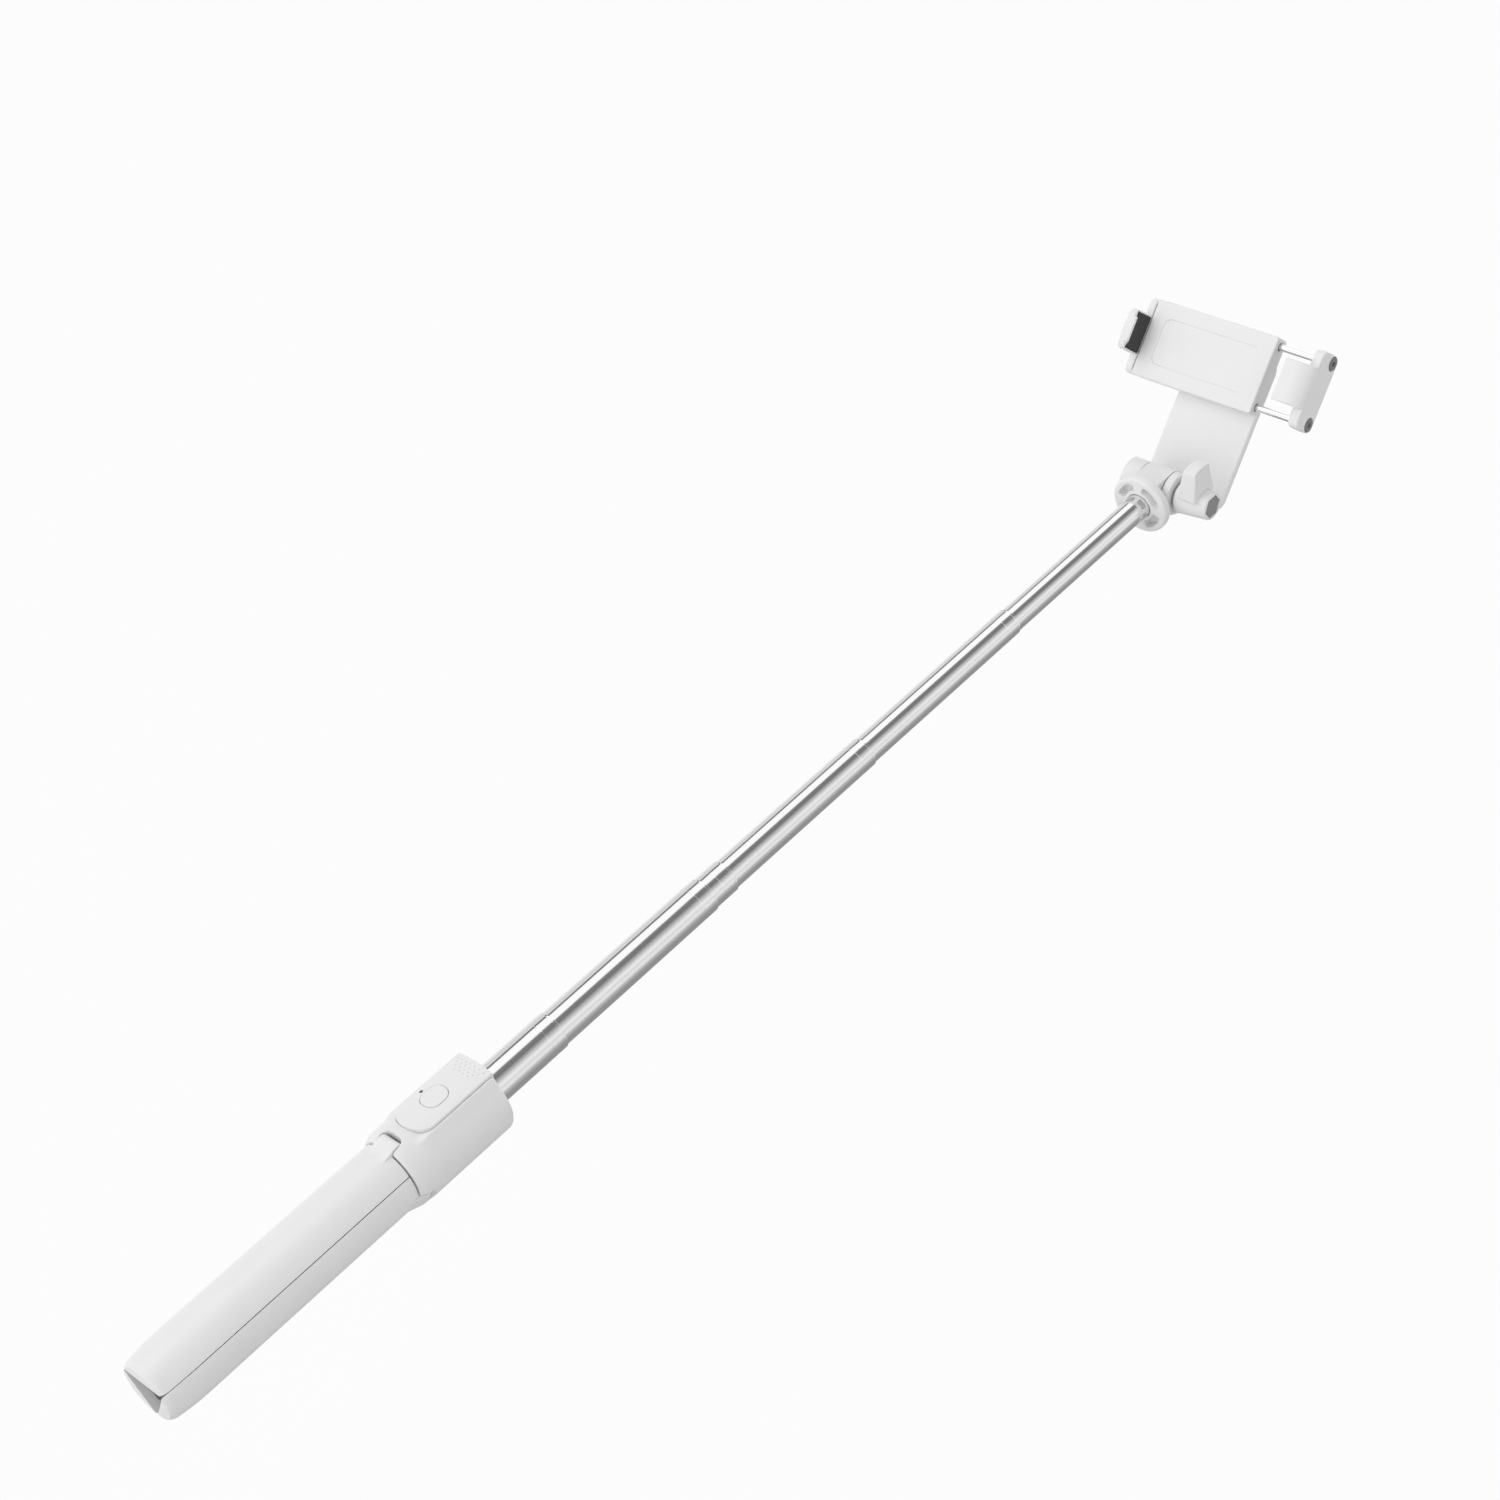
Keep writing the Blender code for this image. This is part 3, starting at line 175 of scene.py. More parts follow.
class StickSizes(bpy.types.PropertyGroup):
    """Fine sizes of the pieces' surfaces"""
    edge: length_property("Moulded Edge", "Rounding of the moulded pieces' cut edges", 0.22, 0.05, 0.5)
    wing_edge: length_property("Wing Rounding", "Rounding of the knob's wing", 1.1, 0.3, 1.6)
    groove_depth: length_property(
        "Tube Groove", "Depth of the pressed groove near each tube's end", 0.1, 0.02, 0.14)
    groove_down: length_property(
        "Groove Distance", "Distance of the pressed groove from the tube's end", 5.2, 2, 10)
    rib_count: IntProperty(
        name="Pad Ribs", description="Number of grip ribs on each jaw pad", default=7, min=3, max=12)
    dot_rows: IntProperty(
        name="Dot Rows", description="Rows of small dots at the remote's top end", default=4, min=0, max=6)
    dot_radius: length_property("Dot Radius", "Radius of one dot on the remote", 0.22, 0.1, 0.6)


def colour_property(name, description, default):
    return FloatVectorProperty(
        name=name, description=description, subtype="COLOR", size=3, min=0, max=1, default=default)


class StickColours(bpy.types.PropertyGroup):
    """Colours of the finishes"""
    white: colour_property("White Plastic", "Colour of the moulded white pieces", (0.84, 0.84, 0.838))
    grey: colour_property("Grey Plastic", "Colour of the rod caps and small grey pieces", (0.2, 0.2, 0.205))
    grey_metal: colour_property("Grey Metal", "Colour of the hexagon in the knob", (0.34, 0.34, 0.35))
    rubber: colour_property("Rubber", "Colour of the jaw pads", (0.045, 0.045, 0.048))
    steel: colour_property("Polished Steel", "Colour of the tubes and rods", (0.8, 0.8, 0.81))
    spring: colour_property("Spring Steel", "Colour of the springs, the nut and the screw", (0.55, 0.55, 0.56))
    board: colour_property("Circuit Board", "Colour of the remote's board", (0.03, 0.16, 0.08))
    lens: colour_property("Indicator", "Colour of the remote's indicator lens", (0.02, 0.02, 0.024))


class StageSettings(bpy.types.PropertyGroup):
    """Floor and light"""
    floor: colour_property("Floor", "Colour of the floor", (0.62, 0.62, 0.62))
    floor_drop: FloatProperty(
        name="Floor Drop", description="Distance of the floor below the frame's lowest point",
        default=0.075, min=0, max=0.5, unit="LENGTH")
    sky: FloatProperty(
        name="Sky Strength", description="Strength of the studio's soft surround", default=0.82, min=0, max=2)
    lamp: FloatProperty(
        name="Lamp Power", description="Power of the large soft lamp", default=5.0, min=0, max=50, unit="POWER")


def sizes():
    return bpy.context.scene.selfie_stick_sizes


def colours():
    return bpy.context.scene.selfie_stick_colours


# Outlines

def arc(centre, radii, start, end, steps=CORNER):
    """Points of an elliptical arc, with the angles in degrees."""
    angles = [math.radians(start + (end - start) * k / steps) for k in range(steps + 1)]
    return [(centre[0] + radii[0] * math.cos(a), centre[1] + radii[1] * math.sin(a)) for a in angles]


def rounded_box(low, high, radius):
    """Outline of a rectangle with round corners."""
    left, right = low[0] + radius, high[0] - radius
    bottom, top = low[1] + radius, high[1] - radius
    corners = [((right, top), 0), ((left, top), 90), ((left, bottom), 180), ((right, bottom), 270)]
    return [point for centre, start in corners for point in arc(centre, (radius, radius), start, start + 90)]


def softened(outline, radius, steps=5):
    """An outline whose corners are rounded off by about the given radius."""
    points = [Vector(point) for point in outline]
    result = []
    for before, corner, after in zip(points[-1:] + points[:-1], points, points[1:] + points[:1]):
        back, on = before - corner, after - corner
        start = corner + back * min(radius / back.length, 0.5)
        end = corner + on * min(radius / on.length, 0.5)
        for k in range(steps + 1):
            share = k / steps
            result.append(tuple(
                start * (1 - share) ** 2 + corner * 2 * share * (1 - share) + end * share**2))
    return result


def d_outline(low, high, half):
    """Outline of the remote: round at its low end, square at the top."""
    end = REMOTE_END * half / REMOTE_HALF
    return [(high, -half), (high, half)] + arc((low + end, 0), (end, half), 90, 270, 40)


# Meshes, drawn in millimetres

def as_mesh(shape, turn=FLAT):
    bmesh.ops.transform(shape, matrix=turn, verts=shape.verts)
    bmesh.ops.recalc_face_normals(shape, faces=shape.faces)
    mesh = bpy.data.meshes.new("shape")
    shape.to_mesh(mesh)
    shape.free()
    return mesh


def slab(outline, low, high, turn=FLAT, edge=0.0, steps=3):
    """An outline with thickness from low to high and round rims."""
    shape = bmesh.new()
    face = shape.faces.new([shape.verts.new((x, y, low)) for x, y in outline])
    grown = bmesh.ops.extrude_face_region(shape, geom=[face])["geom"]
    top = [part for part in grown if isinstance(part, bmesh.types.BMVert)]
    bmesh.ops.translate(shape, verts=top, vec=(0, 0, high - low))
    bmesh.ops.remove_doubles(shape, verts=shape.verts, dist=1e-4)
    if edge:
        rims = [rim for rim in shape.edges if abs(rim.verts[0].co.z - rim.verts[1].co.z) < 1e-5]
        bmesh.ops.bevel(
            shape, geom=rims, offset=edge, offset_type="OFFSET", segments=steps, profile=0.5,
            affect="EDGES", clamp_overlap=True)
    return as_mesh(shape, turn)


def turned(profile, sides, turn=ACROSS):
    """A closed profile of radius and height, turned about its axis."""
    shape = bmesh.new()
    points = [shape.verts.new((radius, 0, height)) for radius, height in profile]
    edges = [
        shape.edges.new((a, b)) for a, b in zip(points, points[1:] + points[:1]) if max(a.co.x, b.co.x) > 1e-6]
    bmesh.ops.spin(
        shape, geom=points + edges, cent=(0, 0, 0), axis=(0, 0, 1), angle=2 * math.pi, steps=sides,
        use_merge=True)
    bmesh.ops.remove_doubles(shape, verts=shape.verts, dist=1e-4)
    return as_mesh(shape, turn)


def bar(radius, low, high, turn=FLAT, centre=(0, 0, 0), sides=SMALL, edge=0.0):
    """A round bar, or a hexagonal one with six sides."""
    side = [(radius, low + edge), (radius, high - edge)]
    if edge:
        side = [(radius - edge, low)] + side + [(radius - edge, high)]
    profile = [(0, low)] + side + [(0, high)]
    return turned(profile, sides, Matrix.Translation(centre) @ turn)


def modified(mesh, change):
    """A mesh after the modifiers that change() puts on it."""
    holder = bpy.data.objects.new("holder", mesh)
    bpy.context.scene.collection.objects.link(holder)
    change(holder)
    bpy.context.view_layer.update()
    graph = bpy.context.evaluated_depsgraph_get()
    result = bpy.data.meshes.new_from_object(holder.evaluated_get(graph))
    bpy.data.objects.remove(holder)
    return result


def combined(mesh, operation, *others):
    """A mesh with others joined to it, cut from it or kept in common with it."""
    tools = []
    for other in others:
        tool = bpy.data.objects.new("tool", other)
        bpy.context.scene.collection.objects.link(tool)
        tools.append(tool)

    def change(holder):
        for tool in tools:
            boolean = holder.modifiers.new("combine", "BOOLEAN")
            boolean.object = tool
            boolean.operation = operation
            boolean.solver = "EXACT"

    result = modified(mesh, change)
    for tool in tools:
        bpy.data.objects.remove(tool)
    return result


def joined(mesh, *others):
    return combined(mesh, "UNION", *others)


def cut(mesh, *others):
    return combined(mesh, "DIFFERENCE", *others)


def common(mesh, other):
    return combined(mesh, "INTERSECT", other)


def welded(mesh, distance=0.01):
    shape = bmesh.new()
    shape.from_mesh(mesh)
    bmesh.ops.remove_doubles(shape, verts=shape.verts, dist=distance)
    bmesh.ops.dissolve_degenerate(shape, edges=shape.edges, dist=distance)
    shape.to_mesh(mesh)
    shape.free()
    return mesh


def rounded(mesh, width=None, angle=35, steps=2):
    """A mesh with its sharp edges rounded off."""
    def change(holder):
        bevel = holder.modifiers.new("round", "BEVEL")
        bevel.width = width or sizes().edge / MM
        bevel.segments = steps
        bevel.limit_method = "ANGLE"
        bevel.angle_limit = math.radians(angle)
        bevel.use_clamp_overlap = False
        bevel.miter_outer = "MITER_ARC"
    result = modified(welded(mesh), change)
    if any(not math.isfinite(value) for point in result.vertices for value in point.co):
        raise RuntimeError("rounding the edges left a point without a place")
    return result


def moved(mesh, matrix):
    copy = mesh.copy()
    copy.transform(matrix)
    return copy


# Finishes

def node(tree, kind, inputs=(), **settings):
    made = tree.nodes.new(kind)
    for key, value in settings.items():
        setattr(made, key, value)
    for key, value in inputs:
        if isinstance(value, bpy.types.NodeSocket):
            tree.links.new(value, made.inputs[key])
        else:
            made.inputs[key].default_value = value
    return made


def colour_socket(sockets, name):
    """The colour socket of a mix node, among others of the same name."""
    return [socket for socket in sockets if socket.name == name and socket.type == "RGBA"][0]


def varied(tree, factor, low, high):
    """A number that follows a noise from low to high."""
    return node(tree, "ShaderNodeMapRange", [
        ("Value", factor), ("From Min", 0.3), ("From Max", 0.7), ("To Min", low), ("To Max", high)]
    ).outputs["Result"]


def noise(tree, place, scale, detail=3.0, rough=0.5):
    return node(tree, "ShaderNodeTexNoise", [
        ("Vector", place), ("Scale", scale), ("Detail", detail), ("Roughness", rough)]).outputs["Fac"]


def finish(name, colour, roughness, spread, grain, depth, metallic=0.0, tone=0.04, stretch=(1, 1, 1), **extra):
    """A surface with a base colour, roughness that varies over it, and a fine grain.

    grain is the size of the grain and depth its height, in metres.
    """
    found = bpy.data.materials.get(name + "_finish")
    if found:
        return found
    material = bpy.data.materials.new(name + "_finish")
    material.use_nodes = True
    tree = material.node_tree
    shader = tree.nodes["Principled BSDF"]
    place = node(tree, "ShaderNodeTexCoord").outputs["Object"]
    streaked = node(tree, "ShaderNodeMapping", [("Vector", place), ("Scale", stretch)]).outputs["Vector"]
    broad = noise(tree, streaked, 55.0)
    fine = noise(tree, streaked, 1 / grain, 4.0, 0.6)
    shades = node(tree, "ShaderNodeMix", [("Factor", varied(tree, broad, 0, 1))], data_type="RGBA")
    for socket, share in (("A", 1 - tone), ("B", 1)):
        colour_socket(shades.inputs, socket).default_value = (*[value * share for value in colour], 1)
    tree.links.new(colour_socket(shades.outputs, "Result"), shader.inputs["Base Color"])
    blend = node(tree, "ShaderNodeMath", [(0, broad), (1, fine)], operation="ADD")
    half = node(tree, "ShaderNodeMath", [(0, blend.outputs[0]), (1, 0.5)], operation="MULTIPLY")
    tree.links.new(
        varied(tree, half.outputs[0], roughness - spread, roughness + spread), shader.inputs["Roughness"])
    bump = node(tree, "ShaderNodeBump", [("Height", fine), ("Distance", depth), ("Strength", 1.0)])
    tree.links.new(bump.outputs["Normal"], shader.inputs["Normal"])
    shader.inputs["Metallic"].default_value = metallic
    for key, value in extra.items():
        shader.inputs[key.replace("_", " ").title().replace("Ior", "IOR")].default_value = value
    return material


def white_plastic():
    return finish("white_plastic", colours().white, 0.4, 0.05, 0.0009, 0.000004, tone=0.015)


def grey_plastic():
    return finish("grey_plastic", colours().grey, 0.46, 0.06, 0.0007, 0.00001)


def grey_metal():
    return finish("grey_metal", colours().grey_metal, 0.42, 0.06, 0.0006, 0.000008, metallic=0.5)


def dark_rubber():
    return finish("dark_rubber", colours().rubber, 0.68, 0.08, 0.0005, 0.00004, tone=0.15)


def polished_steel():
    return finish(
        "polished_steel", colours().steel, 0.12, 0.03, 0.0012, 0.0000008, metallic=1.0, tone=0.02,
        stretch=(0.03, 1, 1))


def spring_steel():
    return finish("spring_steel", colours().spring, 0.3, 0.07, 0.0008, 0.000004, metallic=1.0, tone=0.08)


def circuit_board():
    return finish("circuit_board", colours().board, 0.45, 0.08, 0.0012, 0.00002, tone=0.3)


def indicator():
    return finish("indicator", colours().lens, 0.16, 0.04, 0.0004, 0.000004, coat_weight=0.6)


FINISHES = {
    made.__name__: made for made in (
        white_plastic, grey_plastic, grey_metal, dark_rubber, polished_steel, spring_steel, circuit_board,
        indicator)}


# Placing pieces

def put(name, mesh, place, body, slot, nodes=(), sharp=38):
    """A finished piece from a mesh in millimetres, riding on a body of the frame in place of its nodes."""
    mesh = moved(mesh, place)
    mesh.name = name
    mesh.materials.clear()
    mesh.materials.append(FINISHES[slot]())
    mesh.shade_smooth()
    mesh.set_sharp_from_angle(angle=math.radians(sharp))
    piece = bpy.data.objects.new(name, mesh)
    bpy.context.scene.collection.objects.link(piece)
    weights = piece.modifiers.new("even_normals", "WEIGHTED_NORMAL")
    weights.keep_sharp = True
    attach(piece, body)
    if nodes:
        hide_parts(*nodes)
    return piece


def refinish(node_name, slot):
    """A better finish on a node that stays."""
    data = frame["nodes"][node_name].data
    data.materials.clear()
    data.materials.append(FINISHES[slot]())


# Head

def flank(angle):
    """Distance of the head's surface from its axis, by the angle from the remote's side."""
    corner = math.atan2(SHOULDER_SIDE, SHOULDER_RISE)
    touch = corner + math.acos(HEAD_RADIUS / math.hypot(SHOULDER_SIDE, SHOULDER_RISE))
    angle = abs(angle)
    if angle >= touch:
        return HEAD_RADIUS
    if angle >= corner:
        return HEAD_RADIUS / math.cos(touch - angle)
    return max(HEAD_RADIUS, SHOULDER_RISE / math.cos(angle))


def flare(mesh):
    """Raise the head's flanks to the remote's edges and draw its low end in to the legs, in smooth runs."""
    for point in mesh.vertices:
        x, y, z = point.co
        radius = math.hypot(y, z)
        if radius < HEAD_RADIUS - HEAD_TOP_EDGE - 0.01:
            continue
        run = min(1, max(0, (x - SHOULDER_LOW) / (SHOULDER_HIGH - SHOULDER_LOW)))
        ramp = run * run * (3 - 2 * run)
        grow = 1 + ramp * (flank(math.atan2(y, z)) / HEAD_RADIUS - 1)
        grow *= 1 - LIP_TAPER * max(0, 1 - (x - HEAD_LOW) / LIP_RUN) ** 3
        point.co = (x, y * grow, z * grow)
    return mesh


def head_mesh():
    edge, low, rows = HEAD_TOP_EDGE, HEAD_LOW_EDGE, 48
    bottom, top = HEAD_LOW + low, HEAD_TOP - edge
    profile = arc((HEAD_RADIUS - edge, top), (edge, edge), 90, 0)
    profile += [(HEAD_RADIUS, top + (bottom - top) * k / rows) for k in range(1, rows)]
    profile += arc((HEAD_RADIUS - low, bottom), (low, low), 0, -90, 4)
    skirt_top = NOTCH_TOP + 0.8
    profile += [
        (SKIRT_RADIUS, HEAD_LOW), (SKIRT_RADIUS, skirt_top), (HEAD_INNER, skirt_top + 0.8),
        (HEAD_INNER, HEAD_CEILING), (SLEEVE_RADIUS + GAP, HEAD_CEILING), (SLEEVE_RADIUS + GAP, HEAD_TOP)]
    housing = flare(turned(profile, VERY_FINE))
    pocket = d_outline(REMOTE_LOW - THIN_GAP, HEAD_TOP + 3, REMOTE_HALF + THIN_GAP)
    notch = rounded_box((HEAD_LOW - 5, -NOTCH_HALF), (NOTCH_TOP, NOTCH_HALF), NOTCH_CORNER)
    notch = slab(notch, NOTCH_FLOOR, HEAD_RADIUS + 3)
    notches = [moved(notch, Matrix.Rotation(math.radians(turn), 4, "X")) for turn in (0, 120, 240)]
    return welded(cut(housing, slab(pocket, REMOTE_BACK - GAP, HEAD_RADIUS + 5), *notches))


def make_head():
    put("head_shell", head_mesh(), STICK, "head", "white_plastic", ["head_housing"])
    seat = BUSH_RADIUS + GAP
    chamfer = 0.2
    sleeve = [
        (SLEEVE_RADIUS - chamfer, SLEEVE_TOP), (SLEEVE_RADIUS, SLEEVE_TOP - chamfer), (SLEEVE_RADIUS, SLEEVE_LOW),
        (SLEEVE_BORE, SLEEVE_LOW), (SLEEVE_BORE, BUSH_LOW - GAP), (seat, BUSH_LOW - GAP),
        (seat, SLEEVE_TOP - chamfer), (seat + chamfer, SLEEVE_TOP)]
    put("guide_sleeve", turned(sleeve, FINE), STICK, "head", "white_plastic", ["pole_guide_sleeve"])
    bush = [
        (BUSH_RADIUS - chamfer, SLEEVE_TOP), (BUSH_RADIUS, SLEEVE_TOP - chamfer), (BUSH_RADIUS, BUSH_LOW),
        (BUSH_BORE, BUSH_LOW), (BUSH_BORE, SLEEVE_TOP - chamfer), (BUSH_BORE + chamfer, SLEEVE_TOP)]
    put("guide_bush", turned(bush, FINE), STICK, "head", "white_plastic", ["pole_guide_bush"])


# Legs

def leg_mesh():
    inner, rows = LEG_RADIUS - LEG_WALL, 48
    top = LEG_LENGTH - LEG_TOP_EDGE
    bend = FOOT_ROUND * math.sin(math.radians(FOOT_CREASE))
    profile = [(LEG_RADIUS - LEG_TOP_EDGE, LEG_LENGTH)]
    profile += [(LEG_RADIUS, top + (bend - top) * k / rows) for k in range(rows)]
    profile += arc((LEG_RADIUS - FOOT_EDGE, bend), (FOOT_EDGE, FOOT_ROUND), 0, -FOOT_CREASE, 12)
    profile += [
        (FOOT_INNER, 0), (FOOT_INNER, FOOT_THICKNESS), (inner - 1, FOOT_THICKNESS)]
    profile += [(inner, height) for height in (FOOT_THICKNESS + 1, 7, 10, FOOT_RUN, LEG_LENGTH)]
    side = 2 * LEG_RADIUS
    third = slab([(-5, -side), (PIN_X + 5, -side), (PIN_X + 5, side), (-5, side)], LEG_CHORD, side)
    shell = common(turned(profile, VERY_FINE), third)
    low, high = PIN_CIRCLE - KNUCKLE_RADIUS, PIN_CIRCLE + KNUCKLE_RADIUS
    knuckle = arc((PIN_X, PIN_CIRCLE), (KNUCKLE_RADIUS, KNUCKLE_RADIUS), -90, 90, 16)
    tongue = [(LEG_LENGTH - 5, inner + 0.2), (PIN_X - 2.5, low + 0.2)] + knuckle
    tongue += [(PIN_X - 1.5, high - 0.05), (LEG_LENGTH - 5, LEG_RADIUS - 0.9)]
    bore = bar(PIN_BORE, -side, side, SIDEWAYS, (PIN_X, 0, PIN_CIRCLE))
    shell = joined(shell, slab(tongue, -TONGUE_HALF, TONGUE_HALF, SIDEWAYS, 0.35))
    return drawn_in(rounded(cut(shell, bore), 0.07))


def drawn_in(mesh):
    """Draw the closed legs together towards their feet, so that the seams stay shut."""
    for point in mesh.vertices:
        share = 1 - FOOT_TAPER * max(0, 1 - point.co.x / FOOT_RUN) ** 2
        point.co.y *= share
        point.co.z *= share
    return mesh


def make_legs():
    mesh = leg_mesh()
    for number, (place, body) in enumerate(zip(LEG_FRAMES, ("first_leg", "second_leg", "third_leg")), 1):
        put(f"tripod_leg_{number}", mesh, place, body, "white_plastic", [f"leg_{number}"])
        pin = bar(PIN_RADIUS, -PIN_HALF, PIN_HALF, SIDEWAYS, (PIN_X, 0, PIN_CIRCLE), SMALL, PIN_EDGE)
        put(f"hinge_pin_{number}", pin, place, "head", "polished_steel", [f"leg_pin_{number}"])


# Remote

def crowned(outline, low, radius, edge=0.0):
    """An outline whose top follows the remote's round front."""
    top = CROWN_AXIS + radius
    shape = bmesh.new()
    shape.from_mesh(slab(outline, low, top, FLAT, edge))
    for line in range(-CROWN_LINES, CROWN_LINES + 1):
        parts = shape.verts[:] + shape.edges[:] + shape.faces[:]
        bmesh.ops.bisect_plane(
            shape, geom=parts, dist=1e-4, plane_co=(0, line * CROWN_STEP, 0), plane_no=(0, 1, 0))
    for point in shape.verts:
        if point.co.z > top - edge - 0.01:
            point.co.z += crown_height(point.co.y, radius) - top
    return as_mesh(shape)


def button_outline(grow):
    along, across = BUTTON_LENGTH / 2 + grow, BUTTON_WIDTH / 2 + grow
    return rounded_box((BUTTON_X - along, -across), (BUTTON_X + along, across), BUTTON_CORNER + grow)


def crown_height(side, radius=CROWN_RADIUS):
    return CROWN_AXIS + math.sqrt(radius**2 - side**2)


def dot_mesh():
    """Rows of low domes at the remote's top end, nearly flush; their dark grey finish is painted shade standing in
    for the shade in small dimples.
    """
    shape = bmesh.new()
    radius = sizes().dot_radius / MM
    shrink = Matrix.Diagonal((1, 1, DOT_FLATTEN, 1))
    for row in range(sizes().dot_rows):
        count = DOT_MOST - row
        for column in range(count):
            side = (column - (count - 1) / 2) * DOT_SPACING
            place = Matrix.Translation(
                (HEAD_TOP - DOT_DOWN - DOT_ROW * row, side, crown_height(side) - DOT_SINK))
            bmesh.ops.create_uvsphere(
                shape, u_segments=16, v_segments=8, radius=radius, matrix=place @ shrink)
    return as_mesh(shape)


def make_remote():
    outline = d_outline(REMOTE_LOW, HEAD_TOP, REMOTE_HALF)
    inner = d_outline(REMOTE_LOW + REMOTE_WALL, HEAD_TOP - REMOTE_WALL, REMOTE_HALF - REMOTE_WALL)
    led_place = (LED_X, LED_SIDE, 0)
    shell = crowned(outline, REMOTE_INSIDE, CROWN_RADIUS, 0.18)
    shell = cut(
        shell, crowned(inner, REMOTE_BACK, CROWN_RADIUS - REMOTE_WALL),
        slab(button_outline(THIN_GAP), REMOTE_BACK, 2 * HEAD_RADIUS),
        bar(LED_RADIUS + 0.15, REMOTE_BACK, 2 * HEAD_RADIUS, FLAT, led_place))
    put("remote_case", shell, STICK, "remote", "white_plastic", ["remote_shell"])
    cover = slab(outline, REMOTE_BACK, COVER_TOP, FLAT, 0.25)
    put("remote_back", cover, STICK, "remote", "white_plastic", ["remote_back_cover"])
    top = crown_height(LED_SIDE)
    lens = [(0, LED_LOW), (LED_RADIUS, LED_LOW), (LED_RADIUS, top - 0.3)]
    lens += arc((0, top - 0.3), (LED_RADIUS, 0.25), 0, 90)
    put(
        "indicator_lens", turned(lens, SMALL, Matrix.Translation(led_place)), STICK, "remote", "indicator",
        ["remote_led"])
    # The dots take the dark grey finish as painted shade, in place of the shade that small dimples would hold
    put("remote_dots_painted_shade", dot_mesh(), STICK, "remote", "grey_plastic")
    refinish("remote_board", "circuit_board")
    refinish("remote_switch", "grey_plastic")
    refinish("remote_cell", "spring_steel")


def make_button():
    cap = crowned(button_outline(0), BUTTON_LOW, CROWN_RADIUS + BUTTON_PROUD, 0.3)
    put("shutter_button", cap, STICK, "button", "white_plastic", ["remote_button"])


# Pole

def tube_mesh(radius, low, high, pressed):
    """A thin tube with a pressed groove and a rolled end."""
    depth, down = sizes().groove_depth / MM, sizes().groove_down / MM
    inner = radius - TUBE_WALL
    lip = 0.09
    profile = [(inner, low), (radius - lip, low), (radius, low + lip)]
    if pressed:
        profile += [
            (radius, high - down - 0.75), (radius - depth, high - down - 0.6), (radius - depth, high - down - 0.3),
            (radius, high - down - 0.15), (radius, high - 0.9), (radius - lip, high - 0.75),
            (radius - lip, high - 0.55), (radius, high - 0.4)]
    profile += [(radius, high - lip), (radius - lip, high), (inner, high)]
    return turned(profile, FINE)


def make_pole():
    for number, radius in enumerate(TUBE_RADII, 1):
        low, high = [(corner.x - FOOT_X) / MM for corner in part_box(f"tube_{number}")]
        mesh = tube_mesh(radius, low, high, number < len(TUBE_RADII))
        put(f"pole_tube_{number}", mesh, STICK, f"pole_stage_{number}", "polished_steel", [f"tube_{number}"])
    refinish("pole_end_plug", "grey_plastic")


# Collar and tilt hinge

def kidney(middle):
    """Outline of one recess in the collar's underside."""
    start, end = middle - RECESS_HALF, middle + RECESS_HALF
    points = arc((0, 0), (RECESS_OUTER, RECESS_OUTER), start, end, 16)
    points += arc((0, 0), (RECESS_INNER, RECESS_INNER), end, start, 12)
    return softened(points, 0.7)


def make_collar():
    edge = FLANGE_EDGE
    profile = arc((FLANGE_RADIUS - edge, FLANGE_TOP - edge), (edge, edge), 90, 0)
    profile += arc((FLANGE_RADIUS - edge, FLANGE_LOW + edge), (edge, edge), 0, -90)
    profile += [(2, FLANGE_LOW), (2, FLANGE_TOP)]
    start = FLANGE_LOW + 2
    outline = [(start, -LUG_RADIUS)] + arc((HINGE_X, 0), (LUG_RADIUS, LUG_RADIUS), -90, 90, 40)
    outline += [(start, LUG_RADIUS)]
    collar = joined(turned(profile, VERY_FINE), slab(outline, -LUG_HALF, LUG_HALF, SIDEWAYS))
    recesses = [slab(kidney(45 + 90 * k), FLANGE_LOW - 1, FLANGE_LOW + RECESS_DEPTH, ACROSS) for k in range(4)]
    collar = cut(
        collar, bar(SOCKET_RADIUS, FLANGE_LOW - 1, SOCKET_END, ACROSS, sides=FINE),
        bar(BOLT_BORE, -20, 20, SIDEWAYS, (HINGE_X, 0, 0)), *recesses)
    put("collar", rounded(collar, 0.15), STICK, "pole_stage_6", "white_plastic", ["collar_flange"])


def make_bracket():
    back = ARM_FRONT - 1
    ear = arc((0, 0), (LUG_RADIUS, LUG_RADIUS), 20, 180, 40) + [(-WEB_LOW, back), (WEB_TOP, back)]
    arm = rounded_box((ARM_LOW, -ARM_HALF), (ARM_HIGH, ARM_HALF), ARM_CORNER)
    bracket = joined(
        slab(arm, ARM_BACK, ARM_FRONT, FLAT, 0.7), slab(ear, -LEFT_END, -EAR_START, SIDEWAYS, 0.6),
        slab(ear, EAR_START, RIGHT_END, SIDEWAYS, 0.45))
    bracket = cut(
        bracket, bar(BOLT_BORE, -30, 30, SIDEWAYS), bar(NUT_HEX + GAP, -30, NUT_TOP + GAP, SIDEWAYS, sides=6),
        bar(SCREW_RADIUS + GAP, -30, 0, FLAT, (SWIVEL_UP, 0, 0)))
    put("tilt_bracket", rounded(bracket, 0.18), TILT, "bracket", "white_plastic", ["clamp_bracket"])


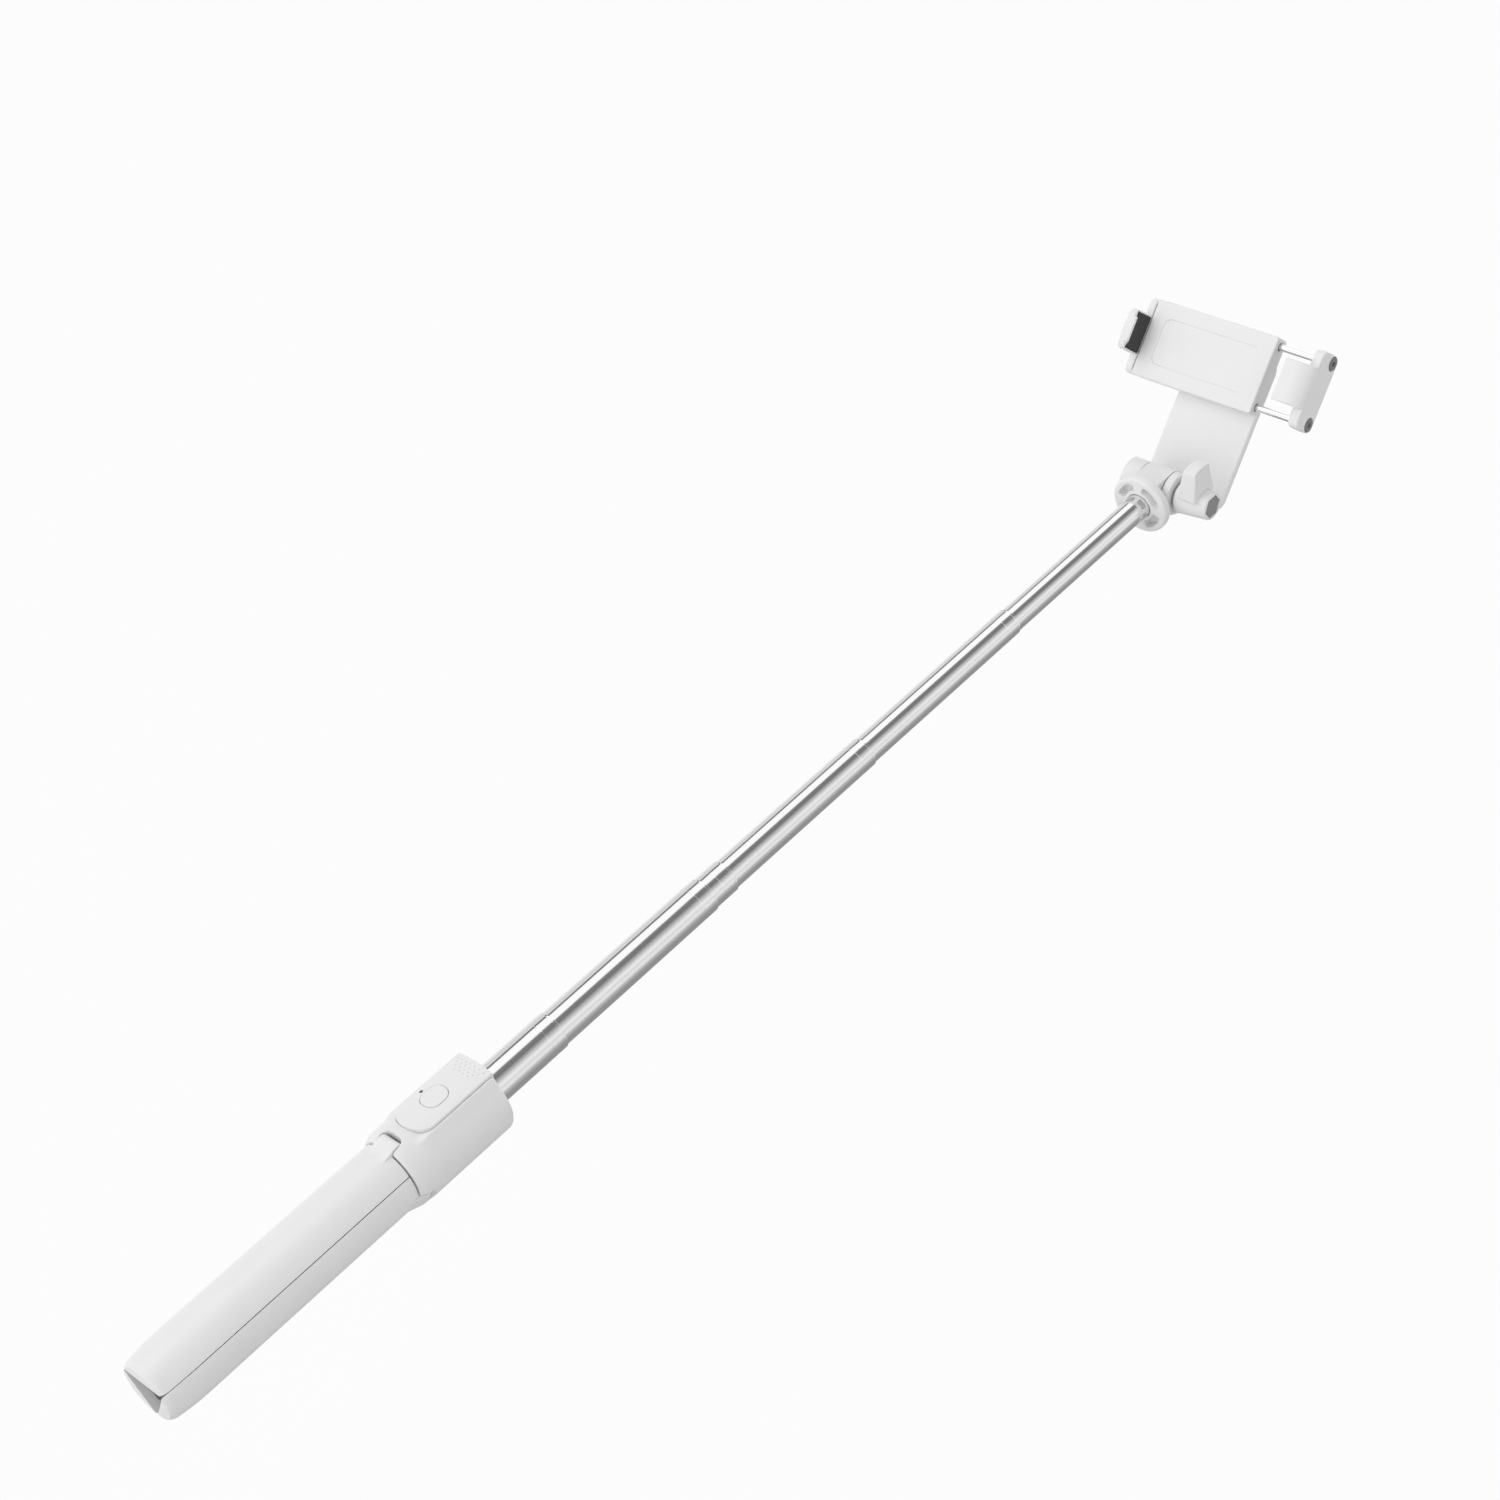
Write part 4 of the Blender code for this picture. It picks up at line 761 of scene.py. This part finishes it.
def make_fasteners():
    head = bar(BOLT_HEX, HEX_LOW, HEX_TOP, SIDEWAYS, sides=6, edge=0.25)
    bolt = joined(head, bar(BOLT_RADIUS, -LEFT_END, HEX_LOW + GAP, SIDEWAYS, edge=0.2))
    put("hinge_bolt", bolt, KNOB, "knob", "grey_metal", ["tilt_bolt"])
    nut = cut(bar(NUT_HEX, -LEFT_END, NUT_TOP, SIDEWAYS, sides=6, edge=0.3), bar(BOLT_BORE, -20, 0, SIDEWAYS))
    put("hinge_nut", nut, TILT, "bracket", "spring_steel", ["tilt_nut"])
    edge = 0.15
    ring = [
        (WASHER_RADIUS - edge, WASHER_TOP), (WASHER_RADIUS, WASHER_TOP - edge), (WASHER_RADIUS, WASHER_LOW + edge),
        (WASHER_RADIUS - edge, WASHER_LOW), (BOLT_BORE, WASHER_LOW), (BOLT_BORE, WASHER_TOP)]
    put("washer", turned(ring, ROUND, SIDEWAYS), TILT, "bracket", "spring_steel", ["knob_washer"])
    dome = [(0, SCREW_LOW)] + arc((SCREW_HEAD - 0.9, SCREW_LOW + 0.9), (0.9, 0.9), -90, 0)
    dome += [(SCREW_HEAD, SCREW_SEAT), (SCREW_RADIUS, SCREW_SEAT), (SCREW_RADIUS, SCREW_END), (0, SCREW_END)]
    screw = turned(dome, ROUND, Matrix.Translation((SWIVEL_UP, 0, 0)))
    slot = rounded_box((SWIVEL_UP - 0.45, -6), (SWIVEL_UP + 0.45, 6), 0.2)
    screw = cut(screw, slab(slot, SCREW_LOW - 1, SCREW_LOW + 0.8))
    put("pan_screw", rounded(screw, 0.08), TILT, "bracket", "spring_steel", ["swivel_screw"])


def make_knob():
    edge = 0.8
    profile = arc((KNOB_TIP - edge, KNOB_TOP - edge), (edge, edge), 90, 0)
    profile += [(KNOB_ROOT - 0.1, KNOB_LOW + 1.2)] + arc((KNOB_ROOT - 0.5, KNOB_LOW + 0.5), (0.5, 0.5), 0, -90, 4)
    profile += [(BOLT_BORE, KNOB_LOW), (BOLT_BORE, KNOB_TOP)]
    hub = turned(profile, FINE, SIDEWAYS)
    root = 3.1
    tip = math.degrees(math.asin(WING_TIP_HALF / WING_REACH))
    face = [(WING_ROOT_HALF, root)] + arc((0, 0), (WING_REACH, WING_REACH), 90 - tip, 90 + tip, 12)
    face += [(-WING_ROOT_HALF, root)]
    wing = slab(softened(face, 1.5), WING_ROOT_LOW, WING_HIGH, FLAT, sizes().wing_edge / MM, 5)
    thinner = (WING_TIP_LOW - WING_ROOT_LOW) / (WING_HIGH - WING_ROOT_LOW)
    for point in wing.vertices:
        share = (point.co.y - root) / (WING_REACH - root)
        point.co.z = WING_HIGH - (WING_HIGH - point.co.z) * (1 - thinner * share)
    hub = joined(hub, moved(wing, SIDEWAYS))
    hub = cut(hub, bar(BOLT_HEX + GAP, HEX_LOW - GAP, 40, SIDEWAYS, sides=6))
    put("wing_knob", rounded(hub, 0.12), KNOB, "knob", "white_plastic", ["tilt_knob"])


# Clamp

def make_clamp_body():
    box = rounded_box((SWIVEL_UP - CLAMP_HALF, CLAMP_RIGHT), (SWIVEL_UP + CLAMP_HALF, CLAMP_LEFT), 1.2)
    body = slab(box, CLAMP_BACK, CLAMP_FRONT, FLAT, 0.6)
    panel = rounded_box(
        (SWIVEL_UP - PANEL_HALF, CLAMP_RIGHT + PANEL_INSET), (SWIVEL_UP + PANEL_HALF, CLAMP_LEFT - PANEL_INSET),
        PANEL_CORNER)
    tools = [
        slab(panel, CLAMP_FRONT - PANEL_DEPTH, 0),
        bar(SCREW_RADIUS + GAP, -30, SCREW_END + GAP, FLAT, (SWIVEL_UP, 0, 0))]
    for side in (1, -1):
        centre = (SWIVEL_UP + side * ROD_SPREAD, 0, ROD_DEPTH)
        tools.append(bar(SPRING_BORE, -60, BORE_END, SIDEWAYS, centre))
        tools.append(bar(ROD_RADIUS + GAP, 0, 60, SIDEWAYS, centre))
    put("clamp_block", rounded(cut(body, *tools)), TILT, "clamp", "white_plastic", ["clamp_body"])


def ribbed(outline_low, outline_high, face, back, count, height=0.25):
    """Outline of a pad across its thickness, with grip ribs on its face."""
    step = (outline_high - outline_low) / count
    away = math.copysign(height, back - face)
    points = [(back, outline_high), (back, outline_low)]
    for k in range(count):
        low = outline_low + k * step
        points += [(face, low + step * share) for share in (0.08, 0.35, 0.62)] + [(face + away, low + step * 0.8)]
    return points


def make_fixed_jaw():
    foot, up, corner, low = CLAMP_HALF, JAW_HALF, JAW_CORNER, CLAMP_FRONT
    outline = arc((foot - corner, low - corner), (corner, corner), 0, 90) + [(up, low)]
    outline += arc((up - corner, FIXED_TOP - corner), (corner, corner), 0, 90)
    outline += arc((corner - up, FIXED_TOP - corner), (corner, corner), 90, 180) + [(-up, low)]
    outline += arc((corner - foot, low - corner), (corner, corner), 90, 180)
    outline += arc((corner - foot, corner + CLAMP_BACK), (corner, corner), 180, 270)
    outline += arc((foot - corner, corner + CLAMP_BACK), (corner, corner), 270, 360)
    centre = TILT @ Matrix.Translation((SWIVEL_UP, 0, 0))
    jaw = slab(outline, -FIXED_OUTER, -FIXED_FACE, SIDEWAYS, 0.5)
    lip_top, lip_low = FIXED_TOP - 0.1, FIXED_TOP - 1.5
    lip = rounded_box((corner - up, lip_low), (up - corner, lip_top), 0.4)
    jaw = joined(jaw, slab(lip, -FIXED_FACE - 0.7, -FIXED_FACE + 0.7, SIDEWAYS, 0.2))
    pad_low = CLAMP_FRONT + GAP
    pocket = rounded_box((-PAD_HALF - GAP, pad_low - GAP), (PAD_HALF + GAP, lip_low), 0.3)
    line = [rounded_box((-5.4 + k, -7.2 + k), (5.4 - k, 0.2 - k), 1.8 - k / 2) for k in (0, 0.8)]
    groove = cut(
        slab(line[0], -FIXED_OUTER - 1, -FIXED_OUTER + 0.35, SIDEWAYS),
        slab(line[1], -FIXED_OUTER - 2, -FIXED_OUTER + 2, SIDEWAYS))
    jaw = cut(jaw, slab(pocket, -PAD_BACK - GAP, 0, SIDEWAYS), groove)
    put("jaw_fixed", rounded(jaw, 0.15), centre, "clamp", "white_plastic", ["fixed_jaw"])
    ribs = ribbed(pad_low, lip_low - GAP, -PAD_FACE, -PAD_BACK, sizes().rib_count)
    pad = slab(ribs, -PAD_HALF, PAD_HALF, ENDWISE)
    put("jaw_fixed_pad", rounded(pad, 0.08), centre, "clamp", "dark_rubber", ["fixed_jaw_pad"])


def hook_outline(low, shrink, tip, outer_reach, inner_reach):
    """Outline of the hook or of its lining, across the jaw, drawn from its foot on the outer side."""
    bend = (HOOK_BEND, SLIDER_TOP)
    rise = HOOK_RISE - shrink
    end = HOOK_END + shrink / 2
    outer = arc(bend, (outer_reach - bend[0], rise), 0, 90, 24)
    inner = arc(bend, (inner_reach - bend[0], rise - tip), 90, 0, 20)
    lip = [(end, SLIDER_TOP + rise), (end, SLIDER_TOP + rise - tip)]
    return [(outer_reach, low)] + outer + lip + inner + [(inner_reach, low)]


def make_sliding_jaw():
    centre = TILT @ Matrix.Translation((SWIVEL_UP, 0, 0))
    outline = rounded_box((-CLAMP_HALF, CLAMP_BACK), (CLAMP_HALF, SLIDER_TOP), JAW_CORNER)
    hook = hook_outline(SLIDER_TOP - JAW_CORNER, 0, HOOK_TIP, SLIDER_BACK - 0.1, SLIDER_FACE + 0.1)
    jaw = joined(
        slab(outline, SLIDER_FACE, SLIDER_BACK, SIDEWAYS, 0.7),
        slab(hook, -JAW_HALF, JAW_HALF, ENDWISE, 0.45))
    tools = []
    for side in (1, -1):
        place = (side * ROD_SPREAD, 0, ROD_DEPTH)
        tools.append(bar(ROD_RADIUS + GAP, 0, 60, SIDEWAYS, place))
        tools.append(bar(CAP_RADIUS + GAP, CAP_LOW - GAP, 60, SIDEWAYS, place, ROUND))
    put("jaw_sliding", rounded(cut(jaw, *tools), 0.08), centre, "slider", "white_plastic", ["sliding_jaw"])
    lining = hook_outline(CLAMP_FRONT + GAP, HOOK_TIP + GAP, LINING_TIP, SLIDER_FACE - GAP, PAD_FACE)
    pad = rounded(slab(lining, -PAD_HALF, PAD_HALF, ENDWISE), 0.15)
    put("jaw_sliding_pad", pad, centre, "slider", "dark_rubber", ["sliding_jaw_pad"])


def coil_mesh(low, high):
    """A wire spring about the hinge-wise axis."""
    path = bpy.data.curves.new("coil", "CURVE")
    path.dimensions = "3D"
    path.bevel_depth = WIRE_RADIUS
    path.bevel_resolution = 2
    path.use_fill_caps = True
    steps = 24 * SPRING_TURNS
    line = path.splines.new("POLY")
    line.points.add(steps)
    for k, point in enumerate(line.points):
        angle = 2 * math.pi * SPRING_TURNS * k / steps
        height = low + (high - low) * k / steps
        point.co = (SPRING_RADIUS * math.cos(angle), -height, SPRING_RADIUS * math.sin(angle), 1)
    source = bpy.data.objects.new("coil", path)
    bpy.context.scene.collection.objects.link(source)
    bpy.context.view_layer.update()
    graph = bpy.context.evaluated_depsgraph_get()
    mesh = bpy.data.meshes.new_from_object(source.evaluated_get(graph))
    bpy.data.objects.remove(source)
    return welded(mesh, 0.001)


def make_rods():
    for side, name in ((1, "upper"), (-1, "lower")):
        place = TILT @ Matrix.Translation((SWIVEL_UP + side * ROD_SPREAD, 0, ROD_DEPTH))
        rod = bar(ROD_RADIUS, ROD_INNER, ROD_OUTER, SIDEWAYS, sides=SMALL, edge=0.2)
        put(f"slide_rod_{name}", rod, place, "slider", "polished_steel", [f"guide_rod_{name}"])
        edge = 0.35
        cap = [(0, CAP_LOW), (CAP_RADIUS, CAP_LOW)] + arc(
            (CAP_RADIUS - edge, CAP_TOP - edge), (edge, edge), 0, 90, 4) + [(0, CAP_TOP)]
        cap = cut(turned(cap, ROUND, SIDEWAYS), bar(1.1, CAP_TOP - 0.6, 60, SIDEWAYS, sides=6))
        put(f"rod_end_{name}", rounded(cap, 0.08), place, "slider", "grey_plastic", [f"rod_cap_{name}"])
        near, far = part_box(f"clamp_spring_{name}")
        coil = coil_mesh(-far.y / MM + WIRE_RADIUS, -near.y / MM - WIRE_RADIUS)
        spring = put(f"return_spring_{name}", coil, place, "clamp", "spring_steel", [f"clamp_spring_{name}"])
        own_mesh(spring)
        refinish(f"rod_stop_{name}", "spring_steel")


# Stage

CAMERA_OFFSET = Vector((-0.68145, -0.54317, 0.65297))
CAMERA_UP = Vector((0.572, 0.3527, 0.7406))
CAMERA_BACK = Vector((-0.489, -0.5782, 0.6531))
CAMERA_LENS = 69.2
FLOOR_HALF, FLOOR_WHITE, END_GLOW = 14, 0.94, 2.1
LAMP_PLACE, LAMP_SIZE = Vector((-0.5, 0.5, 1.5)), (1.6, 1.0)
CARD_CENTRE, CARD_SIZE, CARD_LIFT = (0.1, -0.13), (1.6, 0.38), 0.002
CARD_WHITE_AT, CARD_GREY_AT, CARD_GREY = -0.32, -0.06, 0.34


def make_camera():
    data = bpy.data.cameras.new("camera")
    data.lens = CAMERA_LENS
    data.sensor_width = 36
    data.clip_start, data.clip_end = 0.01, 100
    camera = bpy.data.objects.new("camera", data)
    bpy.context.scene.collection.objects.link(camera)
    back = CAMERA_BACK.normalized()
    right = CAMERA_UP.cross(back).normalized()
    turn = Matrix((right, back.cross(right), back)).transposed()
    camera.matrix_world = Matrix.Translation(HINGE + CAMERA_OFFSET) @ turn.to_4x4()
    bpy.context.scene.camera = camera


def floor_material(colour):
    material = bpy.data.materials.new("pale_floor")
    material.use_nodes = True
    tree = material.node_tree
    shader = tree.nodes["Principled BSDF"]
    place = node(tree, "ShaderNodeTexCoord").outputs["Object"]
    cloud = noise(tree, place, 9.0)
    tree.links.new(varied(tree, cloud, 0.86, 0.92), shader.inputs["Roughness"])
    shader.inputs["Base Color"].default_value = (*colour, 1)
    shader.inputs["Specular IOR Level"].default_value = 0.1
    path = node(tree, "ShaderNodeLightPath")
    seen = node(tree, "ShaderNodeMath", [
        (0, path.outputs["Is Camera Ray"]), (1, path.outputs["Is Glossy Ray"])], operation="MAXIMUM")
    seen = node(tree, "ShaderNodeMath", [
        (0, seen.outputs[0]), (1, path.outputs["Is Transmission Ray"])], operation="MAXIMUM")
    white = node(tree, "ShaderNodeMath", [(0, seen.outputs[0]), (1, FLOOR_WHITE)], operation="MULTIPLY")
    glow = node(tree, "ShaderNodeEmission", [("Color", (1, 1, 1, 1)), ("Strength", 1.0)])
    mix = node(tree, "ShaderNodeMixShader", [(0, white.outputs[0])])
    tree.links.new(shader.outputs[0], mix.inputs[1])
    tree.links.new(glow.outputs[0], mix.inputs[2])
    tree.links.new(mix.outputs[0], tree.nodes["Material Output"].inputs["Surface"])
    return material


# Bands of the surround, by the angle about the stick from the far side up over the top to the near side
SURROUND = [
    (-20, 1.0), (32, 1.0), (37, 0.16), (44, 0.16), (50, 1.5), (88, 1.5), (95, 0.3), (118, 0.26),
    (160, 1.3), (190, 1.2)]


def make_world(strength):
    world = bpy.data.worlds.new("studio")
    bpy.context.scene.world = world
    world.use_nodes = True
    tree = world.node_tree
    ground = tree.nodes["Background"]
    way = node(tree, "ShaderNodeSeparateXYZ", [
        ("Vector", node(tree, "ShaderNodeTexCoord").outputs["Generated"])])
    angle = node(tree, "ShaderNodeMath", [
        (0, way.outputs["Z"]), (1, way.outputs["Y"])], operation="ARCTAN2")
    turn = node(tree, "ShaderNodeMapRange", [
        ("Value", angle.outputs[0]), ("From Min", -math.pi), ("From Max", math.pi)])
    ramp = node(tree, "ShaderNodeValToRGB", [("Fac", turn.outputs["Result"])])
    stops = ramp.color_ramp.elements
    for place, value in SURROUND:
        made = stops.new(min(1, (place + 180) / 360))
        made.color = (value, value, value, 1)
    stops.remove(stops[0])
    stops.remove(stops[-1])
    ends = node(tree, "ShaderNodeMath", [(0, way.outputs["X"])], operation="ABSOLUTE")
    near_end = node(tree, "ShaderNodeMapRange", [
        ("Value", ends.outputs[0]), ("From Min", 0.72), ("From Max", 0.9)])
    mix = node(tree, "ShaderNodeMix", [("Factor", near_end.outputs["Result"])], data_type="RGBA")
    tree.links.new(ramp.outputs["Color"], colour_socket(mix.inputs, "A"))
    colour_socket(mix.inputs, "B").default_value = (*[END_GLOW] * 3, 1)
    tree.links.new(colour_socket(mix.outputs, "Result"), ground.inputs["Color"])
    ground.inputs["Strength"].default_value = strength


def card_material():
    """Mid grey that turns white towards the card's near edge."""
    material = bpy.data.materials.new("grey_card")
    material.use_nodes = True
    tree = material.node_tree
    tree.nodes.remove(tree.nodes["Principled BSDF"])
    place = node(tree, "ShaderNodeSeparateXYZ", [
        ("Vector", node(tree, "ShaderNodeTexCoord").outputs["Object"])])
    fade = node(tree, "ShaderNodeMapRange", [
        ("Value", place.outputs["Y"]), ("From Min", CARD_WHITE_AT), ("From Max", CARD_GREY_AT), ("To Min", 1.0),
        ("To Max", CARD_GREY)])
    glow = node(tree, "ShaderNodeEmission", [("Color", (1, 1, 1, 1)), ("Strength", fade.outputs["Result"])])
    tree.links.new(glow.outputs[0], tree.nodes["Material Output"].inputs["Surface"])
    return material


def make_card(level):
    """A grey card on the floor in front of the stick, which only its reflections show."""
    shape = bmesh.new()
    bmesh.ops.create_grid(shape, x_segments=8, y_segments=4, size=0.5)
    place = Matrix.Translation((*CARD_CENTRE, level)) @ Matrix.Diagonal((*CARD_SIZE, 1, 1))
    card = bpy.data.objects.new("card", as_mesh(shape, place))
    card.data.materials.append(card_material())
    bpy.context.scene.collection.objects.link(card)
    card.visible_camera = card.visible_diffuse = card.visible_shadow = card.visible_transmission = False


def make_stage():
    settings = bpy.context.scene.selfie_stick_stage
    scene = bpy.context.scene
    scene.view_settings.view_transform = "Standard"
    shape = bmesh.new()
    bmesh.ops.create_grid(shape, x_segments=24, y_segments=24, size=FLOOR_HALF)
    level = CAD_BOX[0][2] - settings.floor_drop
    floor = bpy.data.objects.new("floor", as_mesh(shape, Matrix.Translation((0, 0, level))))
    floor.data.materials.append(floor_material(settings.floor))
    scene.collection.objects.link(floor)
    make_card(level + CARD_LIFT)
    light = bpy.data.lights.new("soft_lamp", "AREA")
    light.shape = "RECTANGLE"
    light.size, light.size_y = LAMP_SIZE
    light.energy = settings.lamp
    lamp = bpy.data.objects.new("soft_lamp", light)
    lamp.location = LAMP_PLACE
    lamp.rotation_euler = (-LAMP_PLACE).to_track_quat("-Z", "Y").to_euler()
    scene.collection.objects.link(lamp)
    make_world(settings.sky)
    make_camera()


# Operators, panel and registration

class SELFIE_STICK_OT_build_head(bpy.types.Operator):
    """Head shell, guide sleeve and bush"""
    bl_idname = "selfie_stick.build_head"
    bl_label = "Build Head"

    def execute(self, context):
        make_head()
        return {"FINISHED"}


class SELFIE_STICK_OT_build_legs(bpy.types.Operator):
    """Three legs of the handle and their pins"""
    bl_idname = "selfie_stick.build_legs"
    bl_label = "Build Legs"

    def execute(self, context):
        make_legs()
        return {"FINISHED"}


class SELFIE_STICK_OT_build_remote(bpy.types.Operator):
    """Remote's case, back, lens and dots"""
    bl_idname = "selfie_stick.build_remote"
    bl_label = "Build Remote"

    def execute(self, context):
        make_remote()
        return {"FINISHED"}


class SELFIE_STICK_OT_build_button(bpy.types.Operator):
    """Remote's button"""
    bl_idname = "selfie_stick.build_button"
    bl_label = "Build Button"

    def execute(self, context):
        make_button()
        return {"FINISHED"}


class SELFIE_STICK_OT_build_pole(bpy.types.Operator):
    """Six tubes of the pole"""
    bl_idname = "selfie_stick.build_pole"
    bl_label = "Build Pole"

    def execute(self, context):
        make_pole()
        return {"FINISHED"}


class SELFIE_STICK_OT_build_collar(bpy.types.Operator):
    """Collar on the last tube"""
    bl_idname = "selfie_stick.build_collar"
    bl_label = "Build Collar"

    def execute(self, context):
        make_collar()
        return {"FINISHED"}


class SELFIE_STICK_OT_build_bracket(bpy.types.Operator):
    """Fork and arm plate of the tilt hinge"""
    bl_idname = "selfie_stick.build_bracket"
    bl_label = "Build Bracket"

    def execute(self, context):
        make_bracket()
        return {"FINISHED"}


class SELFIE_STICK_OT_build_fasteners(bpy.types.Operator):
    """Bolt, nut, washer and screw"""
    bl_idname = "selfie_stick.build_fasteners"
    bl_label = "Build Fasteners"

    def execute(self, context):
        make_fasteners()
        return {"FINISHED"}


class SELFIE_STICK_OT_build_knob(bpy.types.Operator):
    """Winged knob"""
    bl_idname = "selfie_stick.build_knob"
    bl_label = "Build Knob"

    def execute(self, context):
        make_knob()
        return {"FINISHED"}


class SELFIE_STICK_OT_build_clamp(bpy.types.Operator):
    """Block that guides the rods"""
    bl_idname = "selfie_stick.build_clamp"
    bl_label = "Build Clamp"

    def execute(self, context):
        make_clamp_body()
        return {"FINISHED"}


class SELFIE_STICK_OT_build_fixed_jaw(bpy.types.Operator):
    """Fixed jaw and its pad"""
    bl_idname = "selfie_stick.build_fixed_jaw"
    bl_label = "Build Fixed Jaw"

    def execute(self, context):
        make_fixed_jaw()
        return {"FINISHED"}


class SELFIE_STICK_OT_build_sliding_jaw(bpy.types.Operator):
    """Sliding jaw and its lining"""
    bl_idname = "selfie_stick.build_sliding_jaw"
    bl_label = "Build Sliding Jaw"

    def execute(self, context):
        make_sliding_jaw()
        return {"FINISHED"}


class SELFIE_STICK_OT_build_rods(bpy.types.Operator):
    """Guide rods, caps and springs"""
    bl_idname = "selfie_stick.build_rods"
    bl_label = "Build Rods"

    def execute(self, context):
        make_rods()
        return {"FINISHED"}


class SELFIE_STICK_OT_build_stage(bpy.types.Operator):
    """Floor, light and camera"""
    bl_idname = "selfie_stick.build_stage"
    bl_label = "Build Stage"

    def execute(self, context):
        make_stage()
        return {"FINISHED"}


OPERATORS = [
    SELFIE_STICK_OT_build_head, SELFIE_STICK_OT_build_legs, SELFIE_STICK_OT_build_remote,
    SELFIE_STICK_OT_build_button, SELFIE_STICK_OT_build_pole, SELFIE_STICK_OT_build_collar,
    SELFIE_STICK_OT_build_bracket, SELFIE_STICK_OT_build_fasteners, SELFIE_STICK_OT_build_knob,
    SELFIE_STICK_OT_build_clamp, SELFIE_STICK_OT_build_fixed_jaw, SELFIE_STICK_OT_build_sliding_jaw,
    SELFIE_STICK_OT_build_rods, SELFIE_STICK_OT_build_stage]


class SELFIE_STICK_PT_sidebar(bpy.types.Panel):
    """Sizes, colours and build steps of the selfie stick"""
    bl_label = "Selfie Stick"
    bl_idname = "SELFIE_STICK_PT_sidebar"
    bl_space_type = "VIEW_3D"
    bl_region_type = "UI"
    bl_category = "Selfie Stick"

    def draw(self, context):
        for group in ("selfie_stick_sizes", "selfie_stick_colours", "selfie_stick_stage"):
            settings = getattr(context.scene, group)
            column = self.layout.column()
            for key in settings.__annotations__:
                column.prop(settings, key)
        column = self.layout.column()
        for made in OPERATORS:
            column.operator(made.bl_idname)


CLASSES = [StickSizes, StickColours, StageSettings, *OPERATORS, SELFIE_STICK_PT_sidebar]


def register():
    for made in CLASSES:
        bpy.utils.register_class(made)
    bpy.types.Scene.selfie_stick_sizes = PointerProperty(type=StickSizes)
    bpy.types.Scene.selfie_stick_colours = PointerProperty(type=StickColours)
    bpy.types.Scene.selfie_stick_stage = PointerProperty(type=StageSettings)


def unregister():
    del bpy.types.Scene.selfie_stick_stage
    del bpy.types.Scene.selfie_stick_colours
    del bpy.types.Scene.selfie_stick_sizes
    for made in reversed(CLASSES):
        bpy.utils.unregister_class(made)


def main():
    register()
    for made in OPERATORS:
        group, name = made.bl_idname.split(".")
        getattr(getattr(bpy.ops, group), name)()


if __name__ == "__main__":
    main()
